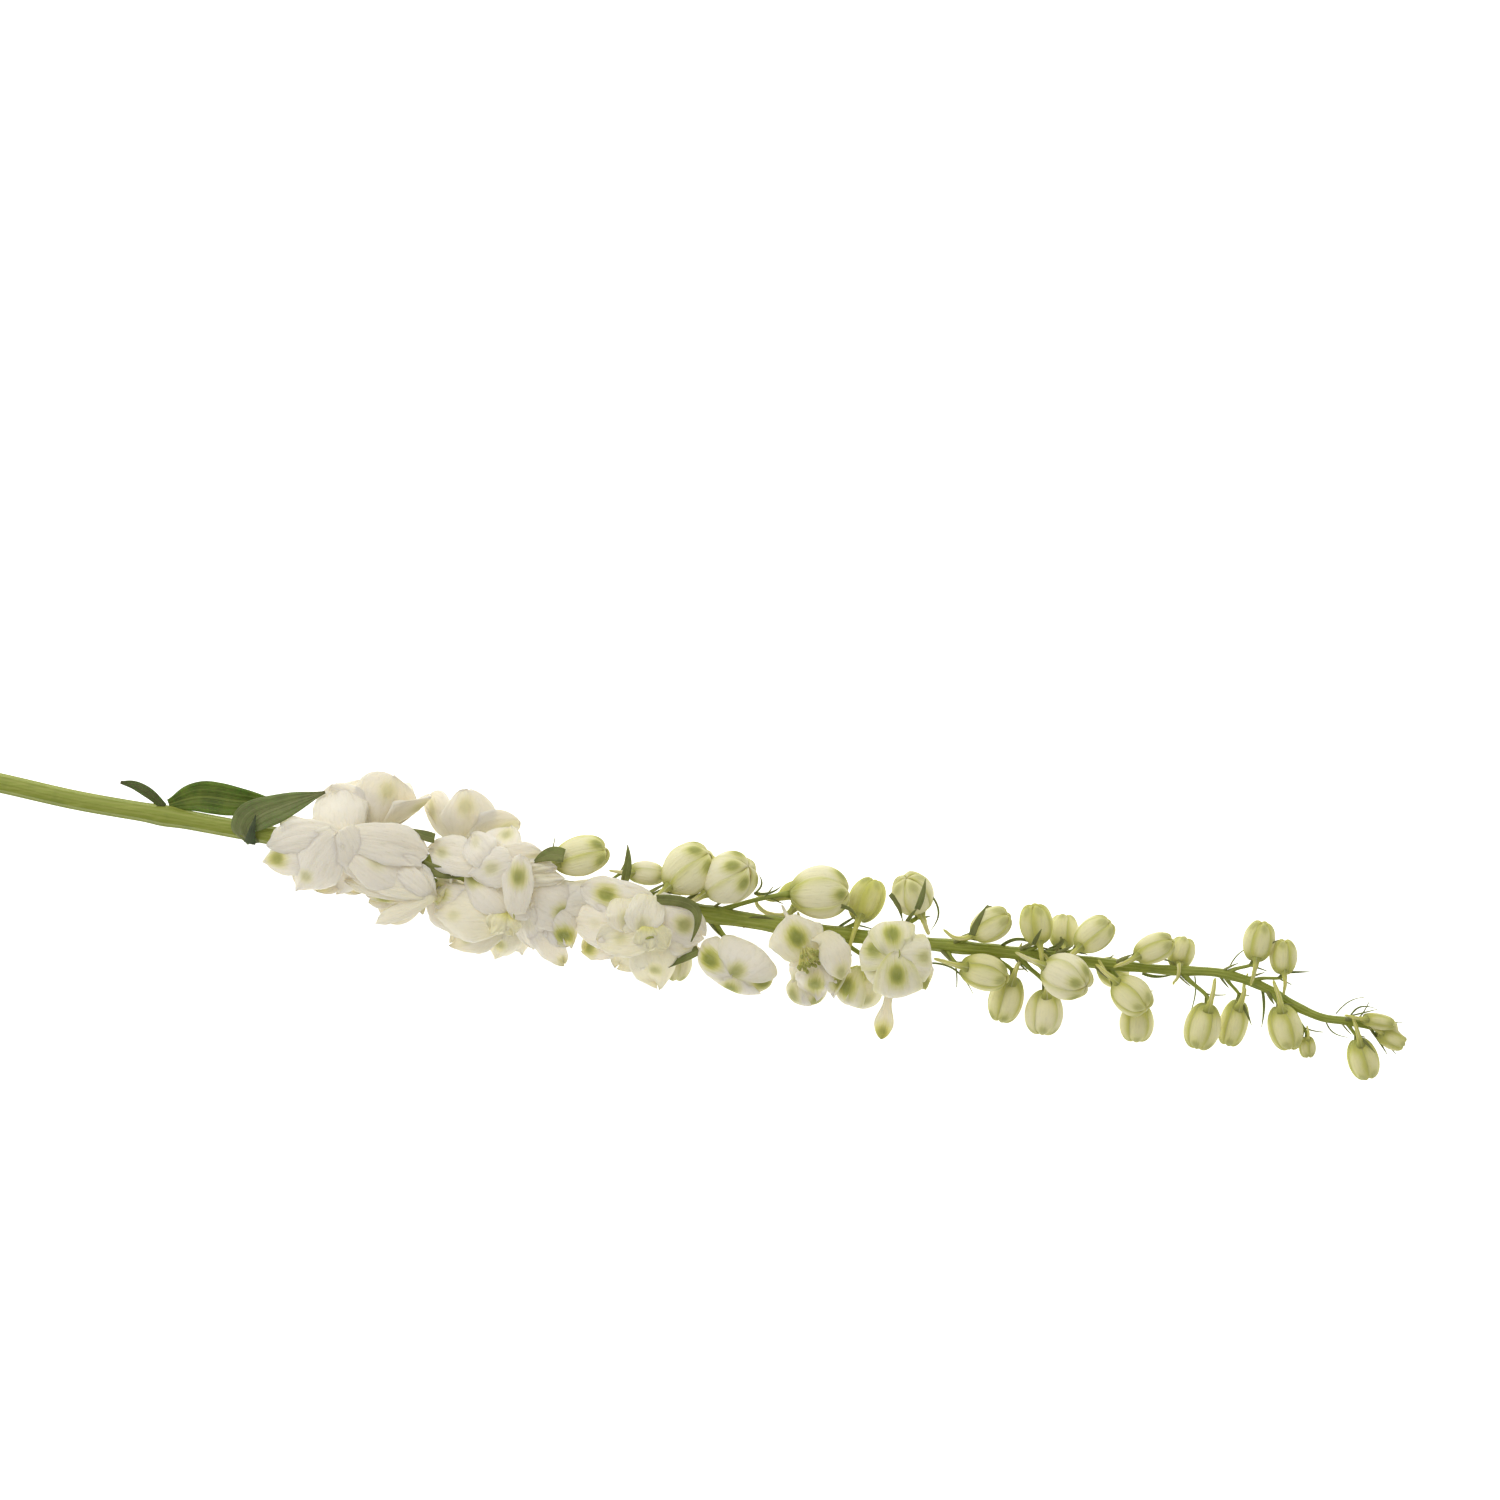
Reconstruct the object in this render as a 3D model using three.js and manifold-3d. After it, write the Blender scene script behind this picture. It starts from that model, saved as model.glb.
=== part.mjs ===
// A cut spike of white double delphinium lying on its side: a ribbed stem with its stalks and
// bracts, three leaves, open blooms low down, half-open flowers, and buds up to the tip.
// Millimetres. The spike lies along +X with its cut end first, +Z is up, and the origin is the
// middle of the underside of the whole spike.
import * as THREE from 'three';
import Module from 'manifold-3d';

const wasm = await Module();
wasm.setup();

// ---- driving sizes -----------------------------------------------------------------------
const BLADE = 0.6;            // thickness of petals and leaves
const GAP = 0.3;              // clearance between neighbouring pieces
const TOUCH = 0.001;          // pieces that share more than this (cubic mm) are cut clear
const STALK = 0.85;           // radius of a flower stalk
const STALK_SIDES = 3;
const STEM_SIDES = 10;
const STEM_STRETCH = 40;      // a longer stretch of the axis than this gets a ring halfway
const RIB = 0.05;             // depth of the ribs, as a share of the stem's radius
const WALL_NEAR = 8;          // a petal starts to bend this far from what stops it
const WALL_MIN = 0.75;        // and comes no closer than this
const OVERLAP = 0.7;          // how far the planes between neighbouring blooms lean, as tiles do
const SPUR = 14;              // length of the spur behind a flower

// The stem's axis: distance along, sideways, height above the table, diameter.
const AXIS = [
  [0, 24, 3.7, 7.2], [70, 14, 9.6, 7.0], [140, 0, 15.4, 6.9], [166, -5.8, 17.6, 6.8],
  [199, -11.5, 20.3, 6.7], [250, -20.8, 24.3, 6.5], [320, -33.2, 27.6, 6.2], [390, -45.7, 27.2, 5.8],
  [442, -53.9, 24.2, 4.9], [500, -60.3, 21.6, 4.3], [562, -67.3, 19.2, 3.2], [581, -68.6, 18.6, 3.1],
  [595, -73.2, 18.2, 3.0], [609, -81.3, 17.8, 2.9], [616, -84.3, 17.6, 2.9], [627, -86, 17.2, 2.7],
  [637, -88.4, 16.8, 2.2],
];

// Flowers from the cut end to the tip. Each row: distance along the stem of the flower's base,
// its offset sideways and upward from the stem's axis, the way the flower faces (degrees from
// +X seen from above, then degrees above the horizontal), how far it is open (0 a bud, 1 open),
// its size and its roundness. A bud's size is its length and its roundness is its width; an
// open flower's size is the length of its outer petals and its roundness widens the cup.
const FLOWERS = [
  [262.0, -1.0, -7.0, -120, -62, 0.95, 17, 1],
  [265.5, 5.0, 5.5, -98, 40, 0.95, 28, 1],
  [275.0, 6.5, -4.0, 88, -8, 0.9, 23, 1],
  [289.0, -5.0, -6.5, -95, -40, 0.9, 16, 1],
  [300.5, -9.5, -3.5, -130, 22, 0.92, 26, 1],
  [304.0, 6.5, -5.0, 78, -22, 0.9, 22, 1],
  [313.0, -4.0, -7.5, -95, -50, 0.85, 21, 1],
  [320.0, 1.5, 6.5, 60, 62, 0.95, 20, 1],
  [326.0, -9.5, 0.0, -95, 60, 0.95, 21.5, 1],
  [340.0, -8.5, -2.5, -60, 50, 0.8, 19, 1],
  [338.5, 8.2, 0.5, 15, 6, 0, 20, 14.5],
  [365.0, 9.8, -3.0, -5, 0, 0, 12.6, 8.8],
  [372.2, -6.5, 4.0, -66, 72, 0.95, 22, 1],
  [379.5, 7.2, 3.0, 40, 14, 0, 20.5, 18],
  [382.0, -2.0, -10.8, -70, -58, 0.2, 19, 1.1],
  [386.2, -13.2, -9.0, -95, -10, 0, 13.5, 11],
  [394.0, 8.4, 2.5, 32, 34, 0, 21, 18],
  [408.8, -14.0, -3.5, -108, 74, 0.12, 28, 1],
  [422.8, 11.8, 2.0, 3, 6, 0, 21.5, 19],
  [427.5, -2.5, 5.0, -62, 28, 0.5, 20.5, 1.1],
  [428.0, -1.0, -11.3, -85, -50, 0.2, 17, 1.1],
  [433.0, -15.5, -8.0, -90, -12, 0.1, 18.5, 1],
  [448.2, 5.6, -3.0, 68, 0, 0, 16.5, 12.5],
  [453.5, -11.0, -6.0, -112, 4, 0.1, 23, 1],
  [461.5, -4.2, 5.2, -70, 80, 0.1, 27, 1.3],
  [469.5, 11.7, 2.0, 112, 32, 0, 16, 14.5],
  [486.5, -6.4, 3.0, -15, 6, 0, 17.3, 12.6],
  [489.9, 4.9, 3.8, 34, 20, 0, 15.5, 11.5],
  [505.9, -8.8, -4.5, -106, -4, 0, 17.5, 12],
  [513.2, 4.6, 3.0, 99, 14, 0, 15, 11.5],
  [518.6, -12.4, -4.5, -96, 0, 0, 16.5, 13.5],
  [518.0, -0.5, -6.5, -25, -48, 0, 14.5, 11],
  [516.2, -3.2, 6.0, -25, 30, 0, 18.5, 16],
  [522.5, 3.6, -5.0, 84, -12, 0, 12.5, 10.5],
  [527.2, 4.9, 4.5, 40, 14, 0, 15.5, 11.5],
  [538.0, -1.0, -5.5, -35, -44, 0, 13.5, 10],
  [542.2, -5.8, 4.0, -41, 22, 0, 15.5, 13],
  [548.5, 4.2, 4.0, 26, 20, 0, 15, 10],
  [551.6, -13.2, -5.0, -92, -8, 0, 14.5, 12],
  [564.5, 0.9, -4.0, 73, -6, 0, 11.5, 9.5],
  [576.2, -11.6, 1.0, -103, 0, 0, 17.2, 12.5],
  [590.2, -8.2, -5.5, -104, -8, 0, 17.2, 10],
  [589.3, 7.9, 2.0, 80, 14, 0, 14.9, 10.8],
  [602.3, -3.0, 3.0, -75, 4, 0, 16.6, 11.8],
  [598.4, 7.7, 1.5, 90, 10, 0, 12.7, 9.6],
  [614.2, -8.4, 0.5, -87, 0, 0, 7.6, 5.7],
  [630.9, -5.6, 0.0, -74, 0, 0, 15.4, 10.8],
  [630.3, 2.2, 3.6, -11, 8, 0, 11.6, 5.4],
  [637.6, -1.2, 0.0, -27, 0, 0, 10.6, 7.6],
];

// One narrow petal of the flower at this row hangs out of the cluster on its own.
const LOOSE_PETAL = { at: 461.5, phi: 145, open: [98, 110], length: 31, width: 3.6 };

// Leaves: midrib points (along, sideways from the table's X axis, height), half widths on the near
// and the far side at even steps from foot to tip, how much each half is folded up, the way across.
const LEAVES = {
  leaf_small: {
    rib: [[199.0, -8.3, 21.7], [194.5, -3.8, 24.0], [189.2, -0.6, 25.2], [184.0, 0.6, 25.6]],
    near: [0.5, 1.3, 1.7, 1.4, 0.8, 0.1],
    far: [0.5, 1.3, 1.7, 1.4, 0.8, 0.1],
    fold: 12,
    side: [0.4, 0.9, 0.1],
  },
  leaf_broad: {
    rib: [[200.6, -7.4, 20.6], [212, -4.6, 22.6], [226, -6.0, 24.4], [242, -7.2, 22.5]],
    near: [1.6, 4.4, 5.9, 5.9, 4.0, 0.3],
    far: [1.6, 4.6, 6.0, 5.7, 3.6, 0.3],
    fold: 10,
    side: [0, 1, 0.1],
  },
  leaf_folded: {
    rib: [
      [231.0, -20.6, 24.4], [230.6, -16.0, 27.4], [235.0, -11.0, 28.6], [245, -6.9, 28.2],
      [257.6, -2.9, 26.6],
    ],
    near: [2.2, 2.2, 4.6, 5.8, 4.0, 0.3],
    far: [2.2, 6.0, 7.6, 5.4, 3.5, 0.3],
    fold: 10,
    side: [-0.8, 0.6, 0.1],
  },
};

const COLOURS = {
  stem: 0x748f38, leaf_small: 0x44702c, leaf_broad: 0x4a8a1e, leaf_folded: 0x64805a,
  bloom: 0xe6e4e0, half_open: 0xe0e2cc, bud: 0xcdd29a,
};

const UP = new THREE.Vector3(0, 0, 1);
const { lerp, clamp, degToRad, smoothstep } = THREE.MathUtils;
const vec = (x, y, z) => new THREE.Vector3(x, y, z);

// ---- closed meshes -----------------------------------------------------------------------

// A solid from its points and triangles, turned so that its faces point out.
function solid(points, triangles) {
  let volume = 0;
  for (const [a, b, c] of triangles) {
    volume += points[a].dot(vec(0, 0, 0).crossVectors(points[b], points[c]));
  }
  const flat = [];
  for (const [a, b, c] of triangles) {
    if (volume > 0) flat.push(a, b, c);
    else flat.push(a, c, b);
  }
  const xyz = new Float32Array(points.length * 3);
  points.forEach((p, i) => p.toArray(xyz, i * 3));
  const mesh = new wasm.Mesh({ numProp: 3, vertProperties: xyz, triVerts: new Uint32Array(flat) });
  return new wasm.Manifold(mesh);
}

// A closed skin over a row of rings; a ring of one point is a pole, and open ends are capped.
function skin(rings) {
  const points = [];
  const triangles = [];
  const starts = rings.map((ring) => points.push(...ring) - ring.length);
  for (let k = 0; k + 1 < rings.length; k += 1) {
    const n = Math.max(rings[k].length, rings[k + 1].length);
    for (let i = 0; i < n; i += 1) {
      const j = (i + 1) % n;
      const a = starts[k] + (rings[k].length > 1 ? i : 0);
      const b = starts[k] + (rings[k].length > 1 ? j : 0);
      const c = starts[k + 1] + (rings[k + 1].length > 1 ? i : 0);
      const d = starts[k + 1] + (rings[k + 1].length > 1 ? j : 0);
      if (a !== b) triangles.push([a, b, d]);
      if (c !== d) triangles.push([a, d, c]);
    }
  }
  for (const k of [0, rings.length - 1]) {
    const n = rings[k].length;
    for (let i = 1; i + 1 < n; i += 1) {
      const tip = [starts[k], starts[k] + i, starts[k] + i + 1];
      triangles.push(k === 0 ? [tip[0], tip[2], tip[1]] : tip);
    }
  }
  return solid(points, triangles);
}

// Both faces of a thin blade: the grid's points moved half the thickness each way.
function faces(grid, thick) {
  const rows = grid.length;
  const cols = grid[0].length;
  const at = (i, j) => grid[clamp(i, 0, rows - 1)][clamp(j, 0, cols - 1)];
  return [0.5, -0.5].map((side) => grid.map((line, i) => line.map((p, j) => {
    const du = at(i + 1, j).clone().sub(at(i - 1, j));
    const dv = at(i, j + 1).clone().sub(at(i, j - 1));
    return p.clone().addScaledVector(du.cross(dv).normalize(), side * thick);
  })));
}

// Blades that share one hub, as one closed skin split alike on both faces: each blade's root
// row is an arc of the hub, and neighbours share the corner between them. With no hub, it is a
// single blade with a closed root.
function blades(grids, thick, hub) {
  const points = [];
  const triangles = [];
  const add = (p) => points.push(p) - 1;
  const index = grids.map((grid) => {
    const [top, low] = faces(grid, thick);
    return [top, low].map((face) => face.map((line) => line.map(add)));
  });
  if (hub) {
    index.forEach((pair, k) => {
      const next = index[(k + 1) % index.length];
      for (const side of [0, 1]) {
        const row = pair[side][0];
        const kept = next[side][0][0];
        points[kept].add(points[row[row.length - 1]]).multiplyScalar(0.5);
        row[row.length - 1] = kept;
      }
    });
  }
  const ends = hub ? hub.map(add) : [];
  for (const [top, low] of index) {
    const rows = top.length - 1;
    const cols = top[0].length - 1;
    for (let i = 0; i < rows; i += 1) {
      for (let j = 0; j < cols; j += 1) {
        triangles.push([top[i][j], top[i + 1][j], top[i + 1][j + 1]]);
        triangles.push([top[i][j], top[i + 1][j + 1], top[i][j + 1]]);
        triangles.push([low[i][j], low[i + 1][j + 1], low[i + 1][j]]);
        triangles.push([low[i][j], low[i][j + 1], low[i + 1][j + 1]]);
      }
      triangles.push([top[i + 1][0], top[i][0], low[i][0]]);
      triangles.push([top[i + 1][0], low[i][0], low[i + 1][0]]);
      triangles.push([top[i][cols], top[i + 1][cols], low[i + 1][cols]]);
      triangles.push([top[i][cols], low[i + 1][cols], low[i][cols]]);
    }
    for (let j = 0; j < cols; j += 1) {
      triangles.push([top[rows][j + 1], top[rows][j], low[rows][j]]);
      triangles.push([top[rows][j + 1], low[rows][j], low[rows][j + 1]]);
      if (hub) {
        triangles.push([top[0][j], top[0][j + 1], ends[0]]);
        triangles.push([low[0][j + 1], low[0][j], ends[1]]);
      } else {
        triangles.push([top[0][j], top[0][j + 1], low[0][j + 1]]);
        triangles.push([top[0][j], low[0][j + 1], low[0][j]]);
      }
    }
  }
  return compact(points, triangles);
}

// The same solid without the points that no triangle uses.
function compact(points, triangles) {
  const seen = new Map();
  const kept = [];
  const faced = triangles.map((face) => face.map((i) => {
    if (!seen.has(i)) seen.set(i, kept.push(points[i]) - 1);
    return seen.get(i);
  }));
  return solid(kept, faced);
}

// A tapered tube along points.
function tube(path, radii, sides, stretch = 1) {
  const rings = [];
  let side = null;
  path.forEach((p, k) => {
    const ahead = path[Math.min(k + 1, path.length - 1)].clone();
    const dir = ahead.sub(path[Math.max(k - 1, 0)]).normalize();
    if (!side) side = Math.abs(dir.z) < 0.9 ? UP.clone() : vec(1, 0, 0);
    side = side.clone().addScaledVector(dir, -side.dot(dir)).normalize();
    const other = dir.clone().cross(side);
    const ring = [];
    for (let i = 0; i < sides; i += 1) {
      const turn = (2 * Math.PI * (i + 0.5)) / sides;
      ring.push(p.clone()
        .addScaledVector(side, radii[k] * Math.cos(turn))
        .addScaledVector(other, radii[k] * stretch * Math.sin(turn)));
    }
    rings.push(ring);
  });
  return skin(rings);
}

// The one largest outer skin of a solid: loose scraps and sealed hollows are dropped.
function largest(whole) {
  const mesh = whole.getMesh();
  const tri = mesh.triVerts;
  const xyz = mesh.vertProperties;
  const parent = Array.from({ length: xyz.length / 3 }, (_, i) => i);
  const root = (i) => {
    let k = i;
    while (parent[k] !== k) {
      parent[k] = parent[parent[k]];
      k = parent[k];
    }
    return k;
  };
  for (let t = 0; t < tri.length; t += 3) {
    parent[root(tri[t])] = root(tri[t + 1]);
    parent[root(tri[t + 1])] = root(tri[t + 2]);
  }
  const corner = (i) => vec(xyz[3 * i], xyz[3 * i + 1], xyz[3 * i + 2]);
  const bodies = new Map();
  for (let t = 0; t < tri.length; t += 3) {
    const key = root(tri[t]);
    if (!bodies.has(key)) bodies.set(key, { volume: 0, faces: [] });
    const body = bodies.get(key);
    body.faces.push([tri[t], tri[t + 1], tri[t + 2]]);
    body.volume += corner(tri[t]).dot(corner(tri[t + 1]).cross(corner(tri[t + 2])));
  }
  const best = [...bodies.values()].sort((a, b) => b.volume - a.volume)[0];
  const points = [];
  for (let i = 0; i < xyz.length / 3; i += 1) points.push(corner(i));
  return compact(points, best.faces);
}

const fuse = (parts) => parts.reduce((whole, part) => whole.add(part));

// ---- the stem's axis ---------------------------------------------------------------------

const SLOPES = AXIS.map((row, i) => [1, 2, 3].map((c) => {
  const back = AXIS[Math.max(i - 1, 0)];
  const next = AXIS[Math.min(i + 1, AXIS.length - 1)];
  if (i === 0 || i === AXIS.length - 1) return (next[c] - back[c]) / (next[0] - back[0]);
  const before = row[0] - back[0];
  const after = next[0] - row[0];
  const slopeBefore = (row[c] - back[c]) / before;
  const slopeAfter = (next[c] - row[c]) / after;
  return (slopeBefore * after + slopeAfter * before) / (before + after);
}));

// Point, direction and radius of the stem at a distance x from its cut end.
function stemAt(x) {
  const last = AXIS[AXIS.length - 1][0];
  const t = clamp(x, 0, last);
  let i = 0;
  while (i < AXIS.length - 2 && AXIS[i + 1][0] < t) i += 1;
  const h = AXIS[i + 1][0] - AXIS[i][0];
  const s = (t - AXIS[i][0]) / h;
  const value = (c) => (2 * s ** 3 - 3 * s * s + 1) * AXIS[i][c]
    + (s ** 3 - 2 * s * s + s) * h * SLOPES[i][c - 1]
    + (3 * s * s - 2 * s ** 3) * AXIS[i + 1][c]
    + (s ** 3 - s * s) * h * SLOPES[i + 1][c - 1];
  const slope = (c) => ((6 * s * s - 6 * s) * AXIS[i][c]) / h
    + (3 * s * s - 4 * s + 1) * SLOPES[i][c - 1]
    + ((6 * s - 6 * s * s) * AXIS[i + 1][c]) / h
    + (3 * s * s - 2 * s) * SLOPES[i + 1][c - 1];
  return {
    point: vec(x, value(1), value(2)),
    along: vec(1, slope(1), slope(2)).normalize(),
    radius: value(3) / 2,
  };
}

// ---- flowers -----------------------------------------------------------------------------

// A flower's row as points, directions and sizes.
function readFlower(row) {
  const [x, aside, above, heading, rise, open, size, round] = row;
  const stem = stemAt(x);
  const across = UP.clone().cross(stem.along).normalize();
  const base = stem.point.clone().addScaledVector(across, aside).addScaledVector(UP, above);
  const h = degToRad(heading);
  const v = degToRad(rise);
  const face = vec(Math.cos(h) * Math.cos(v), Math.sin(h) * Math.cos(v), Math.sin(v));
  const back = UP.clone().addScaledVector(face, -face.z).normalize();
  const side = face.clone().cross(back);
  const kind = open === 0 ? 'bud' : open < 0.5 ? 'half_open' : 'bloom';
  const stiff = open < 0.5;
  const under = above < -3;
  const length = open === 0 ? size / 0.721 : size;
  const wide = open === 0 ? (round / 2 - 1.6) / (0.3055 * length) : round;
  const depth = open === 0 ? size : size * lerp(0.72, 0.3, open);
  const girth = open === 0 ? round / 2 : stiff ? size * 0.4 * round : size * 0.95;
  return {
    x, base, face, back, side, open, kind, stiff, under, size, length, wide, girth,
    from: base.clone().addScaledVector(face, Math.min(girth, depth * 0.5)),
    to: base.clone().addScaledVector(face, Math.max(depth - girth, depth * 0.5)),
    centre: base.clone().addScaledVector(face, depth * 0.5),
  };
}

const flowers = FLOWERS.map(readFlower);

// Distance from a wall and the way out of it, for a plane, a capsule or the stem.
const planeWall = (point, normal) => (p) => ({ gap: p.clone().sub(point).dot(normal), normal });
const capsuleWall = (a, b, radius) => (p) => {
  const ab = b.clone().sub(a);
  const t = clamp(p.clone().sub(a).dot(ab) / Math.max(ab.lengthSq(), 1e-6), 0, 1);
  const away = p.clone().sub(a).addScaledVector(ab, -t);
  return { gap: away.length() - radius, normal: away.normalize() };
};
const stemWall = (p) => {
  const stem = stemAt(p.x);
  const away = p.clone().sub(stem.point);
  away.addScaledVector(stem.along, -away.dot(stem.along));
  return { gap: away.length() - stem.radius, normal: away.normalize() };
};

// What a flower's petals have to keep clear of: the table, the stem, stiff buds and half-open
// flowers, and the halfway planes to the other open blooms.
function wallsOf(flower) {
  const walls = [planeWall(vec(0, 0, -WALL_MIN + 0.3), UP), stemWall];
  if (flower.stiff) return walls;
  for (const other of flowers) {
    const apart = flower.centre.distanceTo(other.centre);
    if (other === flower || apart > flower.girth + other.girth + 4) continue;
    if (other.stiff) {
      walls.push(capsuleWall(other.from, other.to, other.girth));
    } else {
      const share = flower.girth / (flower.girth + other.girth);
      const middle = flower.centre.clone().lerp(other.centre, share);
      const over = flower.centre.z > other.centre.z ? OVERLAP : -OVERLAP;
      const away = flower.centre.clone().sub(other.centre).addScaledVector(UP, over * apart);
      walls.push(planeWall(middle, away.normalize()));
    }
  }
  return walls;
}

// A point is eased back where it comes near a wall.
function eased(p, walls, near) {
  const q = p.clone();
  for (let pass = 0; pass < 2; pass += 1) {
    for (const wall of walls) {
      const { gap, normal } = wall(q);
      if (gap >= near) continue;
      const kept = WALL_MIN + (near - WALL_MIN) * Math.exp((gap - near) / (near - WALL_MIN));
      q.addScaledVector(normal, kept - gap);
    }
  }
  return q;
}

// The middle surface of a petal, as a grid. It leaves the base round the facing direction,
// turns from the first angle to the last on its way to the tip, bends along what stops it, and
// is as wide as its outline: narrow claw, broad middle, round tip.
function petalGrid(flower, petal, walls, grow) {
  const { phi, first, last, length, width, rootRadius, cup, ruffle, wide, rise = 0 } = petal;
  const { rows, cols } = petal;
  const out = flower.back.clone().multiplyScalar(Math.cos(degToRad(phi)))
    .addScaledVector(flower.side, Math.sin(degToRad(phi)));
  const lateral = flower.side.clone().multiplyScalar(Math.cos(degToRad(phi)))
    .addScaledVector(flower.back, -Math.sin(degToRad(phi)));
  const steps = 24;
  const spine = [];
  let p = flower.base.clone().addScaledVector(out, rootRadius).addScaledVector(flower.face, rise);
  let radius = rootRadius;
  for (let k = 0; k <= steps; k += 1) {
    const u = k / steps;
    const theta = degToRad(lerp(first, last, u ** 0.9));
    const d = flower.face.clone().multiplyScalar(Math.cos(theta))
      .addScaledVector(out, Math.sin(theta) * wide);
    const step = (length / steps) * d.length();
    d.normalize();
    for (const wall of walls) {
      const { gap, normal } = wall(p);
      const inward = -d.dot(normal);
      const hold = 1 - smoothstep(gap, WALL_MIN, WALL_NEAR);
      if (inward > 0) d.addScaledVector(normal, inward * hold);
    }
    d.normalize();
    const lat = lateral.clone().addScaledVector(d, -lateral.dot(d)).normalize();
    spine.push({ p: p.clone(), d: d.clone(), lat, inner: d.clone().cross(lat), radius });
    p = p.clone().addScaledVector(d, step);
    radius += Math.sin(theta) * wide * (length / steps);
  }
  const grid = [];
  for (let i = 0; i <= rows; i += 1) {
    const u = i / rows;
    const knot = spine[Math.round(u * steps)];
    const tip = u < 0.6 ? 1 : Math.sqrt(Math.max(1 - ((u - 0.6) / 0.42) ** 2, 0.05));
    const half = Math.min(width * tip, petal.room * knot.radius);
    const bend = Math.max(knot.radius * lerp(1, cup, flower.open), 1.8);
    const line = [];
    for (let j = 0; j <= cols; j += 1) {
      const v = (2 * j) / cols - 1;
      const angle = clamp((v * half) / bend, -2.2, 2.2);
      const wave = ruffle * u * u * Math.sin(v * 4.4 + phi * 0.7);
      const point = knot.p.clone()
        .addScaledVector(knot.lat, bend * Math.sin(angle))
        .addScaledVector(knot.inner, bend * (1 - Math.cos(angle)) + wave);
      line.push(eased(point, walls, 3)
        .addScaledVector(knot.lat, 1.3 * grow * v)
        .addScaledVector(knot.d, i === rows ? 1.3 * grow : 0));
    }
    grid.push(line);
  }
  return grid;
}

// The spur: a curved tube from the upper side of the base, running back.
function spurPath(flower) {
  const length = flower.open === 0 ? Math.min(SPUR, flower.size * 0.9) : SPUR;
  const bud = flower.open === 0;
  const start = flower.base.clone().addScaledVector(flower.face, bud ? flower.size * 0.12 : 1)
    .addScaledVector(flower.back, bud ? flower.girth * 0.6 : 1.8);
  const path = [];
  for (let k = 0; k <= 3; k += 1) {
    const t = k / 3;
    const p = start.clone()
      .addScaledVector(flower.face, -length * t)
      .addScaledVector(flower.back, 2.2 * Math.sin(Math.PI * Math.min(t * 1.1, 1)));
    path.push(k === 0 ? p : eased(p, [planeWall(vec(0, 0, 0.6), UP), stemWall], 3));
  }
  return path;
}

// A bud as one closed skin with five lobes at its tip, a flower as its column and petals; both
// with the spur. A solid made to cut others clear is the same, grown by the clearance.
function flowerSolid(flower, grow) {
  const parts = [];
  const scale = flower.open === 0 ? clamp(flower.size / 15, 0.55, 1.1) : 1;
  const spurRadii = [1.7, 1.3, 1.1, 0.7].map((r) => r * scale + grow);
  parts.push(tube(spurPath(flower), spurRadii, 3));
  const walls = wallsOf(flower);
  if (flower.open === 0) {
    const rings = [];
    const sides = 10;
    const first = 80;
    const last = -75;
    for (const u of [0, 0.2, 0.46, 0.72, 0.96]) {
      let f = 0;
      let r = Math.min(1.6, flower.girth * 0.4);
      const steps = 20;
      for (let k = 0; k < steps; k += 1) {
        const theta = degToRad(lerp(first, last, (u * (k + 0.5)) / steps));
        f += (Math.cos(theta) * flower.length * u) / steps;
        r += (Math.sin(theta) * flower.length * u * flower.wide) / steps;
      }
      const ring = [];
      for (let i = 0; i < sides; i += 1) {
        const turn = (2 * Math.PI * i) / sides;
        const lobe = 1 + (i % 2 ? -1 : 1) * 0.13 * u * u;
        const notch = (i % 2 ? -0.04 : 0.02) * u * flower.size;
        ring.push(flower.base.clone()
          .addScaledVector(flower.face, f + notch + grow * (u - 0.3))
          .addScaledVector(flower.back, (r * lobe + grow) * Math.cos(turn))
          .addScaledVector(flower.side, (r * lobe + grow) * Math.sin(turn)));
      }
      rings.push(ring);
    }
    parts.push(skin(rings));
    return fuse(parts);
  }
  const rows = petalsOf(flower);
  const top = rows.inner.length ? rows.inner[0].rise : rows.outer[0].rise;
  const hubRadius = grow ? 2.8 : 2.0;
  const column = [];
  for (const [f, r] of [[0, 1.4], [1.2, hubRadius], [top, hubRadius]]) {
    const ring = [];
    for (let i = 0; i < 5; i += 1) {
      const turn = (2 * Math.PI * (i + 0.5)) / 5;
      ring.push(flower.base.clone().addScaledVector(flower.face, f)
        .addScaledVector(flower.back, (r + grow) * Math.cos(turn))
        .addScaledVector(flower.side, (r + grow) * Math.sin(turn)));
    }
    column.push(ring);
  }
  parts.push(skin(column));
  for (const row of [rows.outer, rows.inner]) {
    if (!row.length) continue;
    const hub = [0.5, -0.5].map((side) => flower.base.clone()
      .addScaledVector(flower.face, row[0].rise + side * (BLADE + 2 * grow)));
    const grids = row.map((petal) => petalGrid(flower, petal, walls, grow));
    if (grow) grids.forEach((grid) => parts.push(blades([grid], BLADE + 2 * grow, null)));
    else parts.push(blades(grids, BLADE, hub));
  }
  for (const petal of rows.loose) {
    parts.push(blades([petalGrid(flower, petal, walls, grow)], BLADE + 2 * grow, null));
  }
  return fuse(parts);
}

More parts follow.
